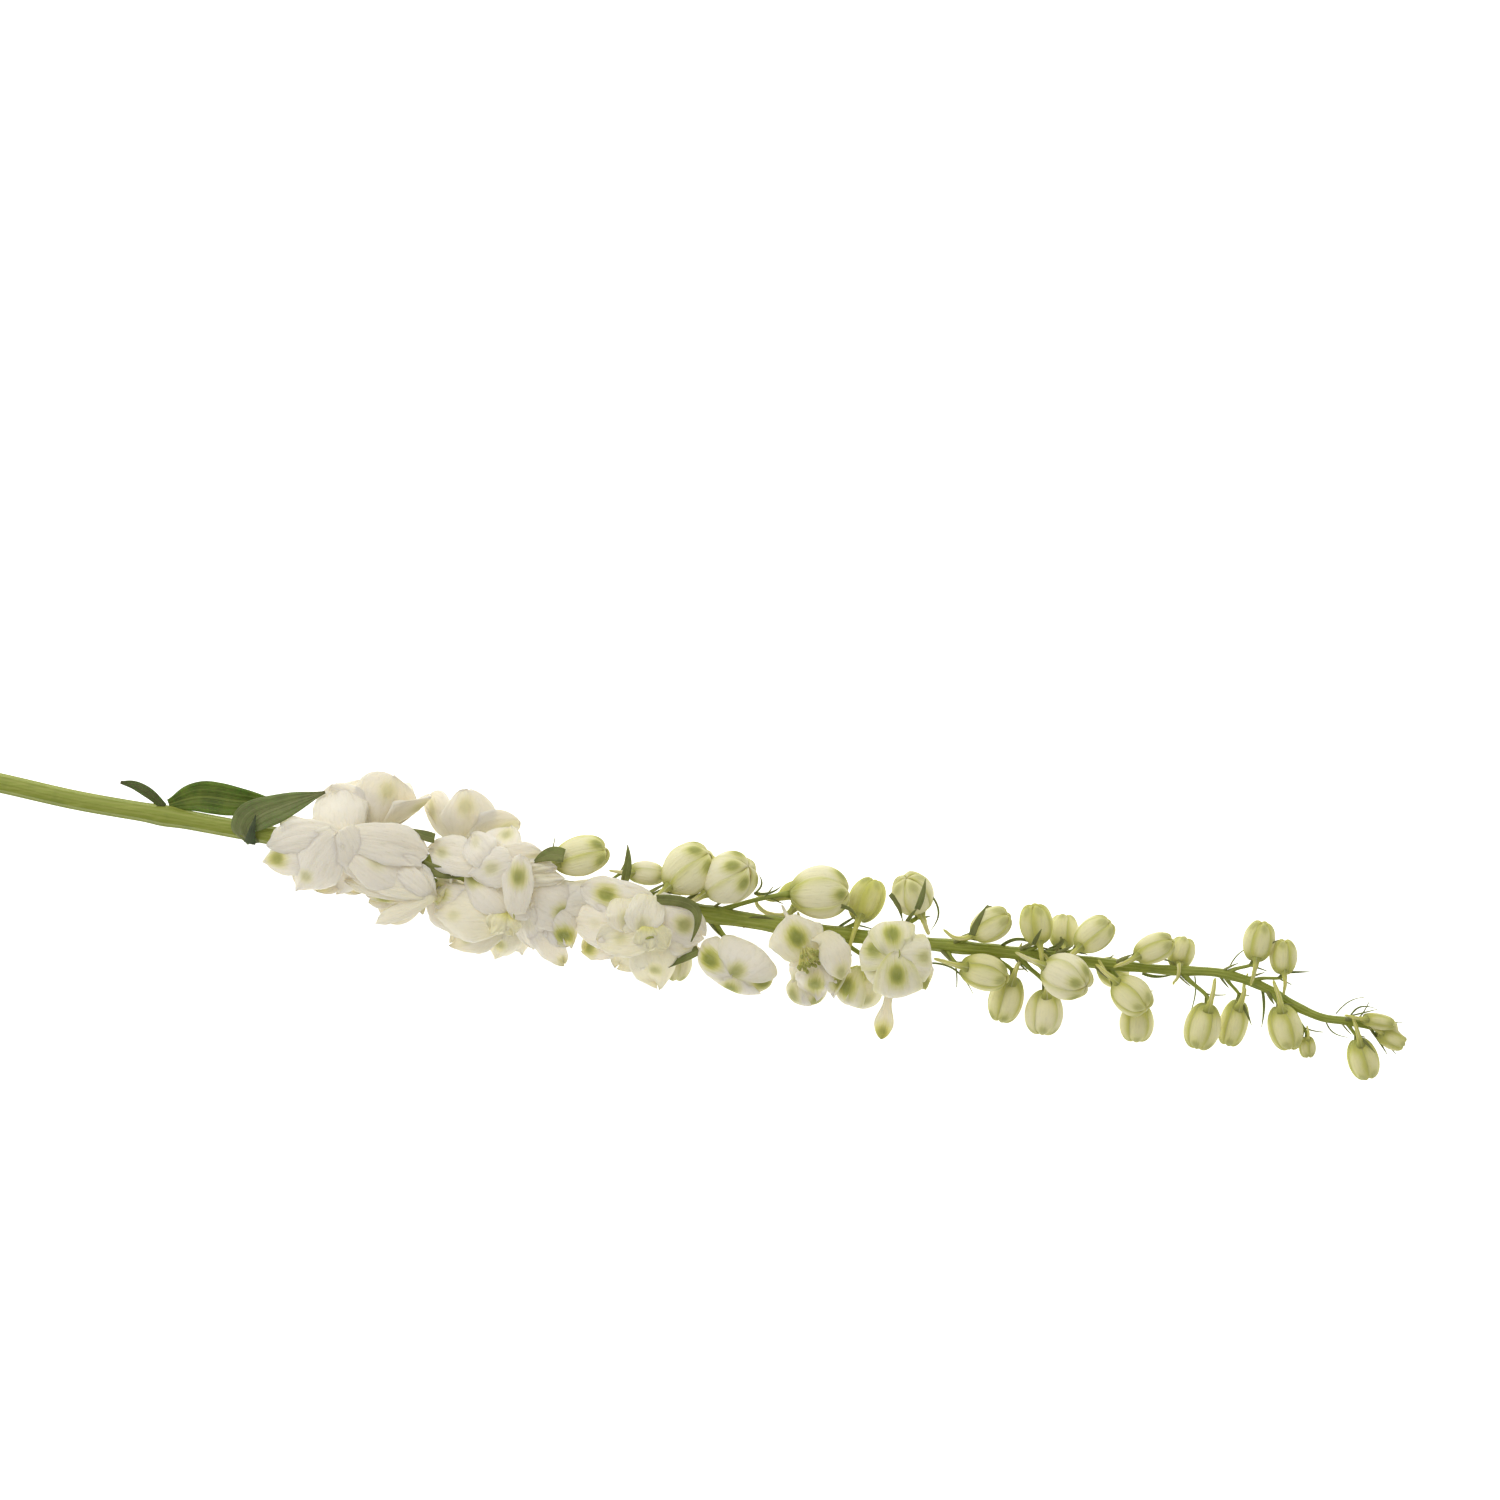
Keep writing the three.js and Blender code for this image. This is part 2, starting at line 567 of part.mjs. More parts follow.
// The petals of a flower: five outer ones, five shorter inner ones in an open bloom on the
// upper side, and the one that hangs loose.
function petalsOf(flower) {
  const { open, size, wide, x, stiff } = flower;
  const first = lerp(82, 52, open);
  const last = lerp(-72, 96, open ** 1.6);
  const five = [0, 1, 2, 3, 4];
  const outer = five.map((k) => {
    const odd = Math.sin(x * 1.7 + k * 2.3);
    return {
      phi: k * 72 + 2 * odd, first, last: last + (stiff ? 3 : 8) * odd, wide,
      length: size * (1 + 0.05 * odd), width: size * lerp(0.46, 0.48, open),
      rootRadius: 2.6, rise: 2.0, cup: 2.2, room: lerp(0.61, 0.67, open),
      ruffle: stiff ? 0 : 0.9 + 0.5 * odd, rows: 4, cols: stiff || flower.under ? 2 : 3,
    };
  });
  const inner = stiff || flower.under || flower.face.z < 0 ? [] : five.map((k) => {
    const odd = Math.sin(x * 2.9 + k * 1.9);
    return {
      phi: k * 72 + 36 + 3 * odd, first: 18, last: lerp(20, 76, open) + 8 * odd, wide,
      length: size * (0.6 + 0.05 * odd), width: size * 0.3,
      rootRadius: 2.4, rise: 4.4, cup: 1.8, room: 0.64, ruffle: 0.5, rows: 2, cols: 2,
    };
  });
  const loose = Math.abs(x - LOOSE_PETAL.at) > 0.01 ? [] : [{
    phi: LOOSE_PETAL.phi, first: LOOSE_PETAL.open[0], last: LOOSE_PETAL.open[1], wide: 1,
    length: LOOSE_PETAL.length, width: LOOSE_PETAL.width,
    rootRadius: 1.2, rise: 1.2, cup: 2.4, room: 2, ruffle: 0, rows: 4, cols: 2,
  }];
  return { outer, inner, loose };
}

// ---- stem, stalks and bracts -------------------------------------------------------------

// The stalk of a flower: it leaves the stem a little below the flower and meets its base.
function stalkPath(flower) {
  const stem = stemAt(flower.x);
  const out = flower.base.distanceTo(stem.point);
  const foot = stemAt(flower.x - clamp(out * 0.85, 1.2, 12));
  const end = flower.base.clone().addScaledVector(flower.face, -GAP);
  const away = flower.base.clone().sub(foot.point);
  away.addScaledVector(foot.along, -away.dot(foot.along)).normalize();
  const start = foot.point.clone().addScaledVector(away, foot.radius * 0.4);
  const reach = end.distanceTo(start);
  const lead = start.clone().addScaledVector(away, reach * 0.35)
    .addScaledVector(foot.along, reach * 0.2);
  const arrive = end.clone().addScaledVector(flower.face, -reach * 0.3);
  const curve = new THREE.CubicBezierCurve3(start, lead, eased(arrive, [stemWall], 3), end);
  return { path: curve.getPoints(3), foot, away };
}

// A bract: a thin leaf-like scale at the foot of a stalk, leafy low down and short at the tip.
function bract(flower, grow) {
  const { foot, away } = stalkPath(flower);
  const share = clamp((flower.x - 255) / 380, 0, 1);
  const length = lerp(17, 6, share);
  const width = lerp(1.9, 0.6, share);
  const root = foot.point.clone().addScaledVector(foot.along, -2.5)
    .addScaledVector(away, foot.radius * 0.7);
  const dir = away.clone().multiplyScalar(0.8).addScaledVector(foot.along, 0.75).normalize();
  const flat = foot.along.clone().cross(away).normalize();
  const thickWay = dir.clone().cross(flat);
  const rings = [0, 0.4, 1].map((t) => {
    const p = root.clone().addScaledVector(dir, length * t)
      .addScaledVector(away, -length * 0.18 * t * t);
    if (t === 1) return [p.addScaledVector(dir, 2 * grow).addScaledVector(away, -0.5 * grow)];
    const half = (t === 0 ? width * 0.6 : width) + 3.5 * grow;
    return [
      p.clone().addScaledVector(flat, half).addScaledVector(thickWay, -0.35 - grow),
      p.clone().addScaledVector(thickWay, 0.45 + grow),
      p.clone().addScaledVector(flat, -half).addScaledVector(thickWay, -0.35 - grow),
    ];
  });
  return skin(rings);
}

// The ribbed stem with its stalks and bracts.
function stemSolid(grow) {
  const stations = AXIS.flatMap(([x], i) => {
    const next = i + 1 < AXIS.length ? AXIS[i + 1][0] : x;
    return next - x > STEM_STRETCH ? [x, (x + next) / 2] : [x];
  });
  const rings = [];
  for (const x of stations) {
    const { point, along, radius } = stemAt(x);
    const across = UP.clone().cross(along).normalize();
    const top = along.clone().cross(across);
    const ring = [];
    for (let i = 0; i < STEM_SIDES; i += 1) {
      const turn = (2 * Math.PI * i) / STEM_SIDES;
      const r = radius * (1 + (i % 2 ? -RIB : RIB)) + grow;
      ring.push(point.clone().addScaledVector(across, r * Math.cos(turn))
        .addScaledVector(top, r * Math.sin(turn)));
    }
    rings.push(ring);
  }
  const parts = [skin(rings)];
  for (const flower of flowers) {
    const { path } = stalkPath(flower);
    path[3].addScaledVector(flower.face, 0.9 * grow);
    const thin = clamp(flower.girth / 7, 0.6, 1);
    const radii = path.map((_, k) => STALK * thin * [1.4, 1.1, 1.1, 1.5][k] + grow);
    parts.push(tube(path, radii, STALK_SIDES));
    parts.push(bract(flower, grow));
  }
  return fuse(parts);
}

// ---- leaves ------------------------------------------------------------------------------

// The half width at u, from half widths at even steps.
function widthAt(steps, u) {
  const at = u * (steps.length - 1);
  const i = Math.min(Math.floor(at), steps.length - 2);
  return lerp(steps[i], steps[i + 1], at - i);
}

// A leaf: a blade along its midrib, folded up on both sides of it.
function leafSolid(leaf, grow) {
  const rib = new THREE.CatmullRomCurve3(leaf.rib.map((p) => vec(...p)));
  const rows = 8;
  const cols = 4;
  const grid = [];
  for (let i = 0; i <= rows; i += 1) {
    const u = i / rows;
    const p = rib.getPoint(u);
    const dir = rib.getTangent(u);
    const side = vec(...leaf.side);
    side.addScaledVector(dir, -side.dot(dir)).normalize();
    const top = dir.clone().cross(side);
    const line = [];
    for (let j = 0; j <= cols; j += 1) {
      const v = (2 * j) / cols - 1;
      const w = widthAt(v < 0 ? leaf.near : leaf.far, u);
      const up = Math.abs(v) * w * Math.sin(degToRad(leaf.fold));
      line.push(p.clone().addScaledVector(side, v * w).addScaledVector(top, up));
    }
    grid.push(line);
  }
  return blades([grid], BLADE + 2 * grow, null);
}

// ---- the spike ---------------------------------------------------------------------------

const pieces = [];
const keepClear = [];

// A piece joins the others: where it would share room with an earlier one, it is cut clear.
function place(name, kind, plain, grown, centre, reach) {
  let body = plain;
  for (const other of keepClear) {
    if (other.centre && centre && other.centre.distanceTo(centre) > other.reach + reach) continue;
    if (body.intersect(other.body).volume() > TOUCH) body = body.subtract(other.grown);
  }
  body = largest(body);
  keepClear.push({ body, grown, centre, reach });
  pieces.push({ name, kind, body });
}

place('stem', 'stem', largest(stemSolid(0)), stemSolid(GAP), null, 0);
for (const [name, leaf] of Object.entries(LEAVES)) {
  place(name, name, leafSolid(leaf, 0), leafSolid(leaf, GAP), null, 0);
}
const counts = { bloom: 0, half_open: 0, bud: 0 };
for (const flower of flowers) {
  counts[flower.kind] += 1;
  flower.name = `${flower.kind}_${String(counts[flower.kind]).padStart(2, '0')}`;
}
const firmFirst = [...flowers].sort((a, b) => b.stiff - a.stiff || b.centre.z - a.centre.z);
for (const flower of firmFirst) {
  const reach = flower.open === 0 ? flower.size + SPUR : flower.size * 1.3 + 8;
  const plain = flowerSolid(flower, 0);
  place(flower.name, flower.kind, plain, flowerSolid(flower, GAP), flower.base, reach);
}

const box = new THREE.Box3();
for (const { body } of pieces) {
  const xyz = body.getMesh().vertProperties;
  for (let i = 0; i < xyz.length; i += 3) box.expandByPoint(vec(xyz[i], xyz[i + 1], xyz[i + 2]));
}
const origin = vec((box.min.x + box.max.x) / 2, (box.min.y + box.max.y) / 2, box.min.z);

const spike = new THREE.Group();
spike.name = 'delphinium_spike';
for (const { name, kind, body } of pieces) {
  const mesh = body.getMesh();
  const geometry = new THREE.BufferGeometry();
  geometry.setAttribute('position', new THREE.BufferAttribute(new Float32Array(mesh.vertProperties), 3));
  geometry.setIndex(new THREE.BufferAttribute(new Uint32Array(mesh.triVerts), 1));
  geometry.translate(-origin.x, -origin.y, -origin.z);
  geometry.computeVertexNormals();
  const material = new THREE.MeshStandardMaterial({ color: COLOURS[kind], roughness: 0.6, metalness: 0 });
  const piece = new THREE.Mesh(geometry, material);
  piece.name = name;
  spike.add(piece);
}

export default spike;
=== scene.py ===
"""A cut spike of white double delphinium lying on a pale table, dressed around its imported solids.

Lengths in the tables are millimetres along, beside and above the line that the spike lies on; the
frame's own place is read from the stem's cut end. Meshes are handed over in metres.
"""
import math

import bpy
import numpy as np
from bpy.props import FloatProperty, FloatVectorProperty, IntProperty, PointerProperty
from bpy.types import Operator, Panel, PropertyGroup
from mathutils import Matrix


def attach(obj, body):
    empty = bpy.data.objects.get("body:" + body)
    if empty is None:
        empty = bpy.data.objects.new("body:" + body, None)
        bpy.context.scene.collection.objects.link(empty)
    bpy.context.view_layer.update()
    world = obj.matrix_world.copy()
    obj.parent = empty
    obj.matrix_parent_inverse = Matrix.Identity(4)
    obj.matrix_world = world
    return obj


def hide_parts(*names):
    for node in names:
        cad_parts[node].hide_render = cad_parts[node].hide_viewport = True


bl_info = {
    "name": "Delphinium spike",
    "version": (1, 0, 0),
    "blender": (4, 5, 0),
    "location": "3D View > Sidebar > Delphinium",
    "description": "Petals, buds, leaves and stem of a cut delphinium spike",
    "category": "Add Mesh",
}

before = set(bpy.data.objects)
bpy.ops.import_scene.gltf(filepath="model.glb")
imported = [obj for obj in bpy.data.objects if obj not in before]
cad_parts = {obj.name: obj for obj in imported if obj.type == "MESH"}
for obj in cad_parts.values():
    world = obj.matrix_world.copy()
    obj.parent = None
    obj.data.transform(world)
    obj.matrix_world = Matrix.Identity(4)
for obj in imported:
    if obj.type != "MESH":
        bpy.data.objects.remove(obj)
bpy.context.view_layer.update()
MM = 0.001

# ---- sizes of the plant ------------------------------------------------------------------

# The stem's axis: distance along, sideways, height above the table, diameter.
AXIS = np.array([
    [0, 24, 3.7, 7.2], [70, 14, 9.6, 7.0], [140, 0, 15.4, 6.9], [166, -5.8, 17.6, 6.8],
    [199, -11.5, 20.3, 6.7], [250, -20.8, 24.3, 6.5], [320, -33.2, 27.6, 6.2],
    [390, -45.7, 27.2, 5.8], [442, -53.9, 24.2, 4.9], [500, -60.3, 21.6, 4.3],
    [562, -67.3, 19.2, 3.2], [581, -68.6, 18.6, 3.1], [595, -73.2, 18.2, 3.0],
    [609, -81.3, 17.8, 2.9], [616, -84.3, 17.6, 2.9], [627, -86, 17.2, 2.7],
    [637, -88.4, 16.8, 2.2],
])

# Flowers from the cut end to the tip: distance along the stem, offset sideways and upward from
# its axis, heading and rise of the way it faces in degrees, how far it is open, size, roundness.
FLOWERS = [
    [262.0, -1.0, -7.0, -120, -62, 0.95, 14.5, 1],
    [265.5, 5.0, 5.5, -98, 40, 0.95, 28, 1],
    [275.0, 6.5, -4.0, 88, -8, 0.9, 23, 1],
    [289.0, -5.0, -6.5, -95, -40, 0.9, 16, 1],
    [300.5, -9.5, -3.5, -130, 22, 0.92, 26, 1],
    [304.0, 6.5, -5.0, 78, -22, 0.9, 22, 1],
    [313.0, -4.0, -7.5, -95, -50, 0.85, 21, 1],
    [320.0, 1.5, 6.5, 60, 62, 0.95, 20, 1],
    [326.0, -9.5, 0.0, -95, 60, 0.95, 21.5, 1],
    [340.0, -8.5, -2.5, -60, 50, 0.8, 19, 1],
    [338.5, 8.2, 0.5, 15, 6, 0, 20, 14.5],
    [365.0, 9.8, -3.0, -5, 0, 0, 12.6, 8.8],
    [372.2, -6.5, 4.0, -66, 72, 0.95, 22, 1],
    [379.5, 7.2, 3.0, 40, 14, 0, 20.5, 18],
    [382.0, -2.0, -10.8, -70, -58, 0.2, 19, 1.1],
    [386.2, -13.2, -9.0, -95, -10, 0, 13.5, 11],
    [394.0, 8.4, 2.5, 32, 34, 0, 21, 18],
    [408.8, -14.0, -3.5, -117, 74, 0.12, 28, 0.87],
    [422.8, 11.8, 2.0, 3, 6, 0, 21.5, 19],
    [427.5, -2.5, 5.0, -62, 28, 0.5, 20.5, 1.1],
    [428.0, -1.0, -11.3, -85, -50, 0.2, 17, 1.1],
    [433.0, -15.5, -8.0, -90, -12, 0.1, 18.5, 1],
    [448.2, 5.6, -3.0, 68, 0, 0, 16.5, 12.5],
    [453.5, -11.0, -6.0, -112, 4, 0.1, 23, 1],
    [462.6, -6.8, 5.2, 100, 82, 0.1, 27, 1.3],
    [469.5, 11.7, 2.0, 112, 32, 0, 16, 14.5],
    [486.5, -6.4, 3.0, -15, 6, 0, 17.3, 12.6],
    [489.9, 4.9, 3.8, 34, 20, 0, 15.5, 11.5],
    [505.9, -8.8, -4.5, -106, -4, 0, 17.5, 12],
    [513.2, 4.6, 3.0, 99, 14, 0, 15, 11.5],
    [518.6, -12.4, -4.5, -96, 0, 0, 16.5, 13.5],
    [518.0, -0.5, -6.5, -25, -48, 0, 14.5, 11],
    [516.2, -3.2, 6.0, -25, 30, 0, 18.5, 16],
    [522.5, 3.6, -5.0, 84, -12, 0, 12.5, 10.5],
    [527.2, 4.9, 4.5, 40, 14, 0, 15.5, 11.5],
    [538.0, -1.0, -5.5, -35, -44, 0, 13.5, 10],
    [542.2, -5.8, 4.0, -41, 22, 0, 15.5, 13],
    [548.5, 4.2, 4.0, 26, 20, 0, 15, 10],
    [551.6, -13.2, -5.0, -92, -8, 0, 14.5, 12],
    [564.5, 0.9, -4.0, 73, -6, 0, 11.5, 9.5],
    [576.2, -11.6, 1.0, -103, 0, 0, 17.2, 12.5],
    [590.2, -8.2, -5.5, -104, -8, 0, 17.2, 10],
    [589.3, 7.9, 2.0, 80, 14, 0, 14.9, 10.8],
    [602.3, -3.0, 3.0, -75, 4, 0, 16.6, 11.8],
    [598.4, 7.7, 1.5, 90, 10, 0, 12.7, 9.6],
    [614.2, -8.4, 0.5, -87, 0, 0, 7.6, 5.7],
    [630.9, -5.6, 0.0, -74, 0, 0, 15.4, 10.8],
    [630.3, 2.2, 3.6, -11, 8, 0, 11.6, 5.4],
    [637.6, -1.2, 0.0, -27, 0, 0, 10.6, 7.6],
]
LOOSE_PETAL_AT = 462.6        # the flower with one narrow petal hanging out of the cluster

# The petals of the blooms on top of the spike, laid one by one. Each row: the foot and the tip
# (along, sideways, height), half width, arch above and bow beside the straight line, strength
# of the green spot and its place from foot to tip, yellow of the foot, crumpling.
LAID = {
    "bloom_02": [
        [264.9, -18.7, 35, 261, -0.7, 24, 10.5, 3.5, 0, 0, 0.8, 0, 0.25],
        [257, -19.4, 33, 241.5, -13.7, 27, 4.5, 1.5, 0, 0.4, 0.86, 0, 0.5],
        [263.1, -19.1, 36, 237.2, -21.6, 26, 6.3, 3, -2, 0, 0.8, 0, 0.5],
        [261.7, -22, 32, 235, -28.1, 21, 8.1, 3, 0, 0.9, 0.82, 0, 0.2],
        [262.4, -19.4, 37, 246.9, -37.8, 20, 9.8, 4.5, 0, 0.45, 0.76, 0, 0.25],
        [264.9, -16.2, 37.5, 275.4, -33.8, 25, 7.5, 4.5, -1, 0, 0.8, 0, 0.2],
        [268.5, -19.1, 36, 294.8, -25.2, 32, 7.6, 3, 1, 0, 0.8, 0, 0.25],
        [267.4, -21.6, 34.5, 288.3, -36, 31, 9, 2.5, 0, 0.3, 0.45, 0, 0.3],
        [268.9, -20.2, 34, 292.6, -29.5, 31.5, 8, 2, 0, 0, 0.45, 0, 0.3],
        [265.3, -22.3, 31, 260.2, -39.2, 15, 9, 3.5, 0, 0, 0.8, 0, 0.25],
    ],
    "bloom_05": [
        [295.9, -40.7, 33, 275.4, -50, 23, 3.1, 2.5, 0, 0, 0.85, 0.2, 0.1],
        [295.2, -38.9, 33, 266.7, -31.7, 27, 4.6, 3, 0, 0, 0.8, 0.2, 0.35],
        [295.2, -39.2, 32, 264.2, -34.6, 24, 3.4, 3, 1, 0, 0.8, 0.2, 0.35],
        [294.8, -38.5, 31, 268.2, -33.1, 24, 3.4, 2.5, 1, 0, 0.8, 0.2, 0.3],
        [294.1, -40, 30, 271.8, -40.3, 20, 2.7, 2, 0, 1, 0.71, 0, 0.25],
        [295.2, -39.2, 33, 282.6, -28.8, 31.5, 4.5, 2, 0, 0, 0.8, 0, 0.35],
        [295.9, -38.9, 31, 290.5, -28.8, 31, 4, 1, 0, 0, 0.8, 0, 0.3],
        [297, -38.9, 25, 304.9, -52.6, 12, 7, 3, 0, 0.6, 0.8, 0, 0.3],
    ],
    "bloom_08": [
        [316.4, -28.1, 38, 294.8, -23.4, 28, 7.2, 3, 0, 0.4, 0.82, 0, 0.2],
        [319.6, -28.1, 39, 324.3, -15.1, 31, 7.5, 3, 0, 0.5, 0.8, 0, 0.25],
        [317.8, -28.1, 40.5, 310.6, -18, 35, 6.5, 3, 0, 0.2, 0.8, 0, 0.25],
        [325.8, -27.4, 42, 310.3, -32, 36, 7.5, 3, 0, 0.4, 0.5, 0, 0.2],
        [321.8, -25.6, 40, 336.6, -26.3, 34, 5.5, 2.5, 0, 0.2, 0.8, 0, 0.35],
        [327.2, -30.2, 38, 340.9, -29.5, 36, 3.6, 1.5, 0, 0.15, 0.6, 0.2, 1.2],
        [327.2, -32, 38, 343.8, -33.5, 35, 3.8, 1.5, 0, 0.1, 0.6, 0.2, 1.2],
        [325.8, -33.1, 37, 340.2, -36.7, 33, 3.6, 1.5, 0, 0.1, 0.6, 0.2, 1],
        [324.3, -28.8, 38, 336.6, -37.1, 32, 6.5, 3, 0, 0, 0.8, 0, 0.25],
    ],
    "bloom_09": [
        [321.1, -47.5, 33, 297, -46.8, 23, 9.5, 5, 0, 0.25, 0.7, 0.3, 0.2],
        [318.9, -43.2, 31, 292.3, -37.4, 21, 7, 3, 0, 1, 0.82, 0, 0.2],
        [320.7, -49.7, 27, 301.6, -58, 12, 7.5, 3, 0, 0.45, 0.72, 0.3, 0.25],
        [322.9, -49.7, 28, 317.8, -63, 11, 7.5, 3.5, 0, 0.6, 0.62, 0.5, 0.25],
        [325, -49.7, 29, 327.2, -61.6, 13, 5, 2.5, 0, 0, 0.8, 0.3, 0.25],
        [326.8, -45.7, 39, 328.6, -24.8, 42.5, 5.6, 2.5, 0, 0.9, 0.66, 0, 0.2],
        [322.5, -44.6, 36, 308.8, -30.6, 29, 7.5, 3.5, 0, 0.9, 0.8, 0, 0.2],
        [324.3, -44.6, 37, 336.6, -43.6, 33, 4.5, 2, 0, 0, 0.8, 0, 0.2],
        [322.9, -46.1, 35, 317.5, -52.9, 34, 4.5, 2, 0, 0, 0.8, 1, 0.5],
        [324, -46.8, 35, 325.4, -53.6, 34, 4, 1.5, 0, 0, 0.8, 1, 0.5],
    ],
    "bloom_10": [
        [332.2, -43.9, 34, 342.7, -65.2, 15, 5.6, 5, -1, 0.4, 0.95, 0, 0.2],
        [330.1, -42.5, 36, 331.9, -59, 25, 5.5, 3.5, 0, 0.15, 0.45, 0, 0.2],
        [332.2, -40.3, 35, 347.7, -47.9, 25, 9, 4.5, 0, 0.9, 0.72, 0, 0.15],
        [336.6, -44.6, 33, 345.2, -58.7, 22, 6.5, 3, 1, 1.3, 0.74, 0, 0.2],
        [336.2, -42.5, 31, 353.8, -36.4, 27, 8, 3, 0, 0, 0.8, 0, 0.2],
        [336.6, -44.6, 28, 353.1, -43.6, 20, 7.5, 3, 0, 0, 0.8, 0, 0.2],
    ],
    "bloom_11": [
        [373.3, -42.5, 38, 349.9, -37.4, 31, 6.8, 3, 0, 1.1, 0.66, 0, 0.2],
        [374.7, -39.6, 38, 370.8, -52.9, 42, 7, 3, 0, 0.35, 0.8, 0.3, 0.15],
        [366.1, -40.7, 38, 365.4, -52.2, 41, 7, 3, 0, 0.35, 0.6, 0.3, 0.15],
        [375.8, -43.2, 39, 393.4, -54.4, 31, 8.5, 4, 0, 0.8, 0.66, 0, 0.2],
        [366.1, -50, 37, 346.6, -49.3, 27, 8.5, 4, 0, 0.15, 0.6, 0, 0.15],
        [363.9, -54.7, 33, 349.5, -60.1, 19, 6, 2.5, 0, 1, 0.84, 0, 0.2],
        [376.2, -52.9, 41, 355.6, -55.8, 35, 7, 3.5, 0, 0.3, 0.6, 0.5, 0.2],
        [374.4, -54, 40, 376.9, -73.1, 20, 9, 5, 0, 0.6, 0.68, 0.6, 0.2],
        [371.5, -54, 38, 362.5, -65.5, 24, 8, 3.5, 0, 0.35, 0.6, 0.5, 0.2],
        [374.7, -50.4, 42, 380.5, -58.3, 40, 5, 1.5, 0, 0, 0.8, 1, 0.4],
        [373.6, -50.4, 42, 372.6, -59, 41, 4.5, 1.5, 0, 0, 0.8, 1, 0.4],
        [378, -52.6, 38, 391.3, -58.3, 28, 6.5, 3, 0, 0.2, 0.7, 0.3, 0.6],
        [376.2, -54, 33, 385.5, -61.9, 22, 6, 3, 0, 0.3, 0.8, 0, 0.3],
    ],
    "half_open_06": [
        [466.9, -65.5, 30, 472.6, -73.4, 27, 5.2, 3, 2, 1, 0.8, 0, 0.25],
    ],
    "bloom_12": [
        [430.2, -61.6, 32, 423, -47.2, 34, 10, 3, 0, 1.3, 0.5, 0.3, 0.1],
        [434.8, -57.2, 31, 445.6, -60.8, 26, 5.5, 2.5, 0, 0, 0.6, 0.2, 0.1],
        [436.3, -54.4, 36, 443.1, -69.5, 31, 6, 3.5, 1.2, 0.6, 0.85, 0.2, 0.1],
        [433.8, -65.2, 30, 433, -76, 20, 7.5, 4.5, 0, 1.1, 0.6, 0, 0.15],
        [438.4, -65.5, 30, 444.6, -74.5, 20, 5.8, 3, 0, 1.1, 0.62, 0, 0.15],
        [430.9, -62.3, 28, 426.2, -71.3, 21, 5, 2.5, 0, 0.4, 0.8, 0, 0.15],
    ],
}

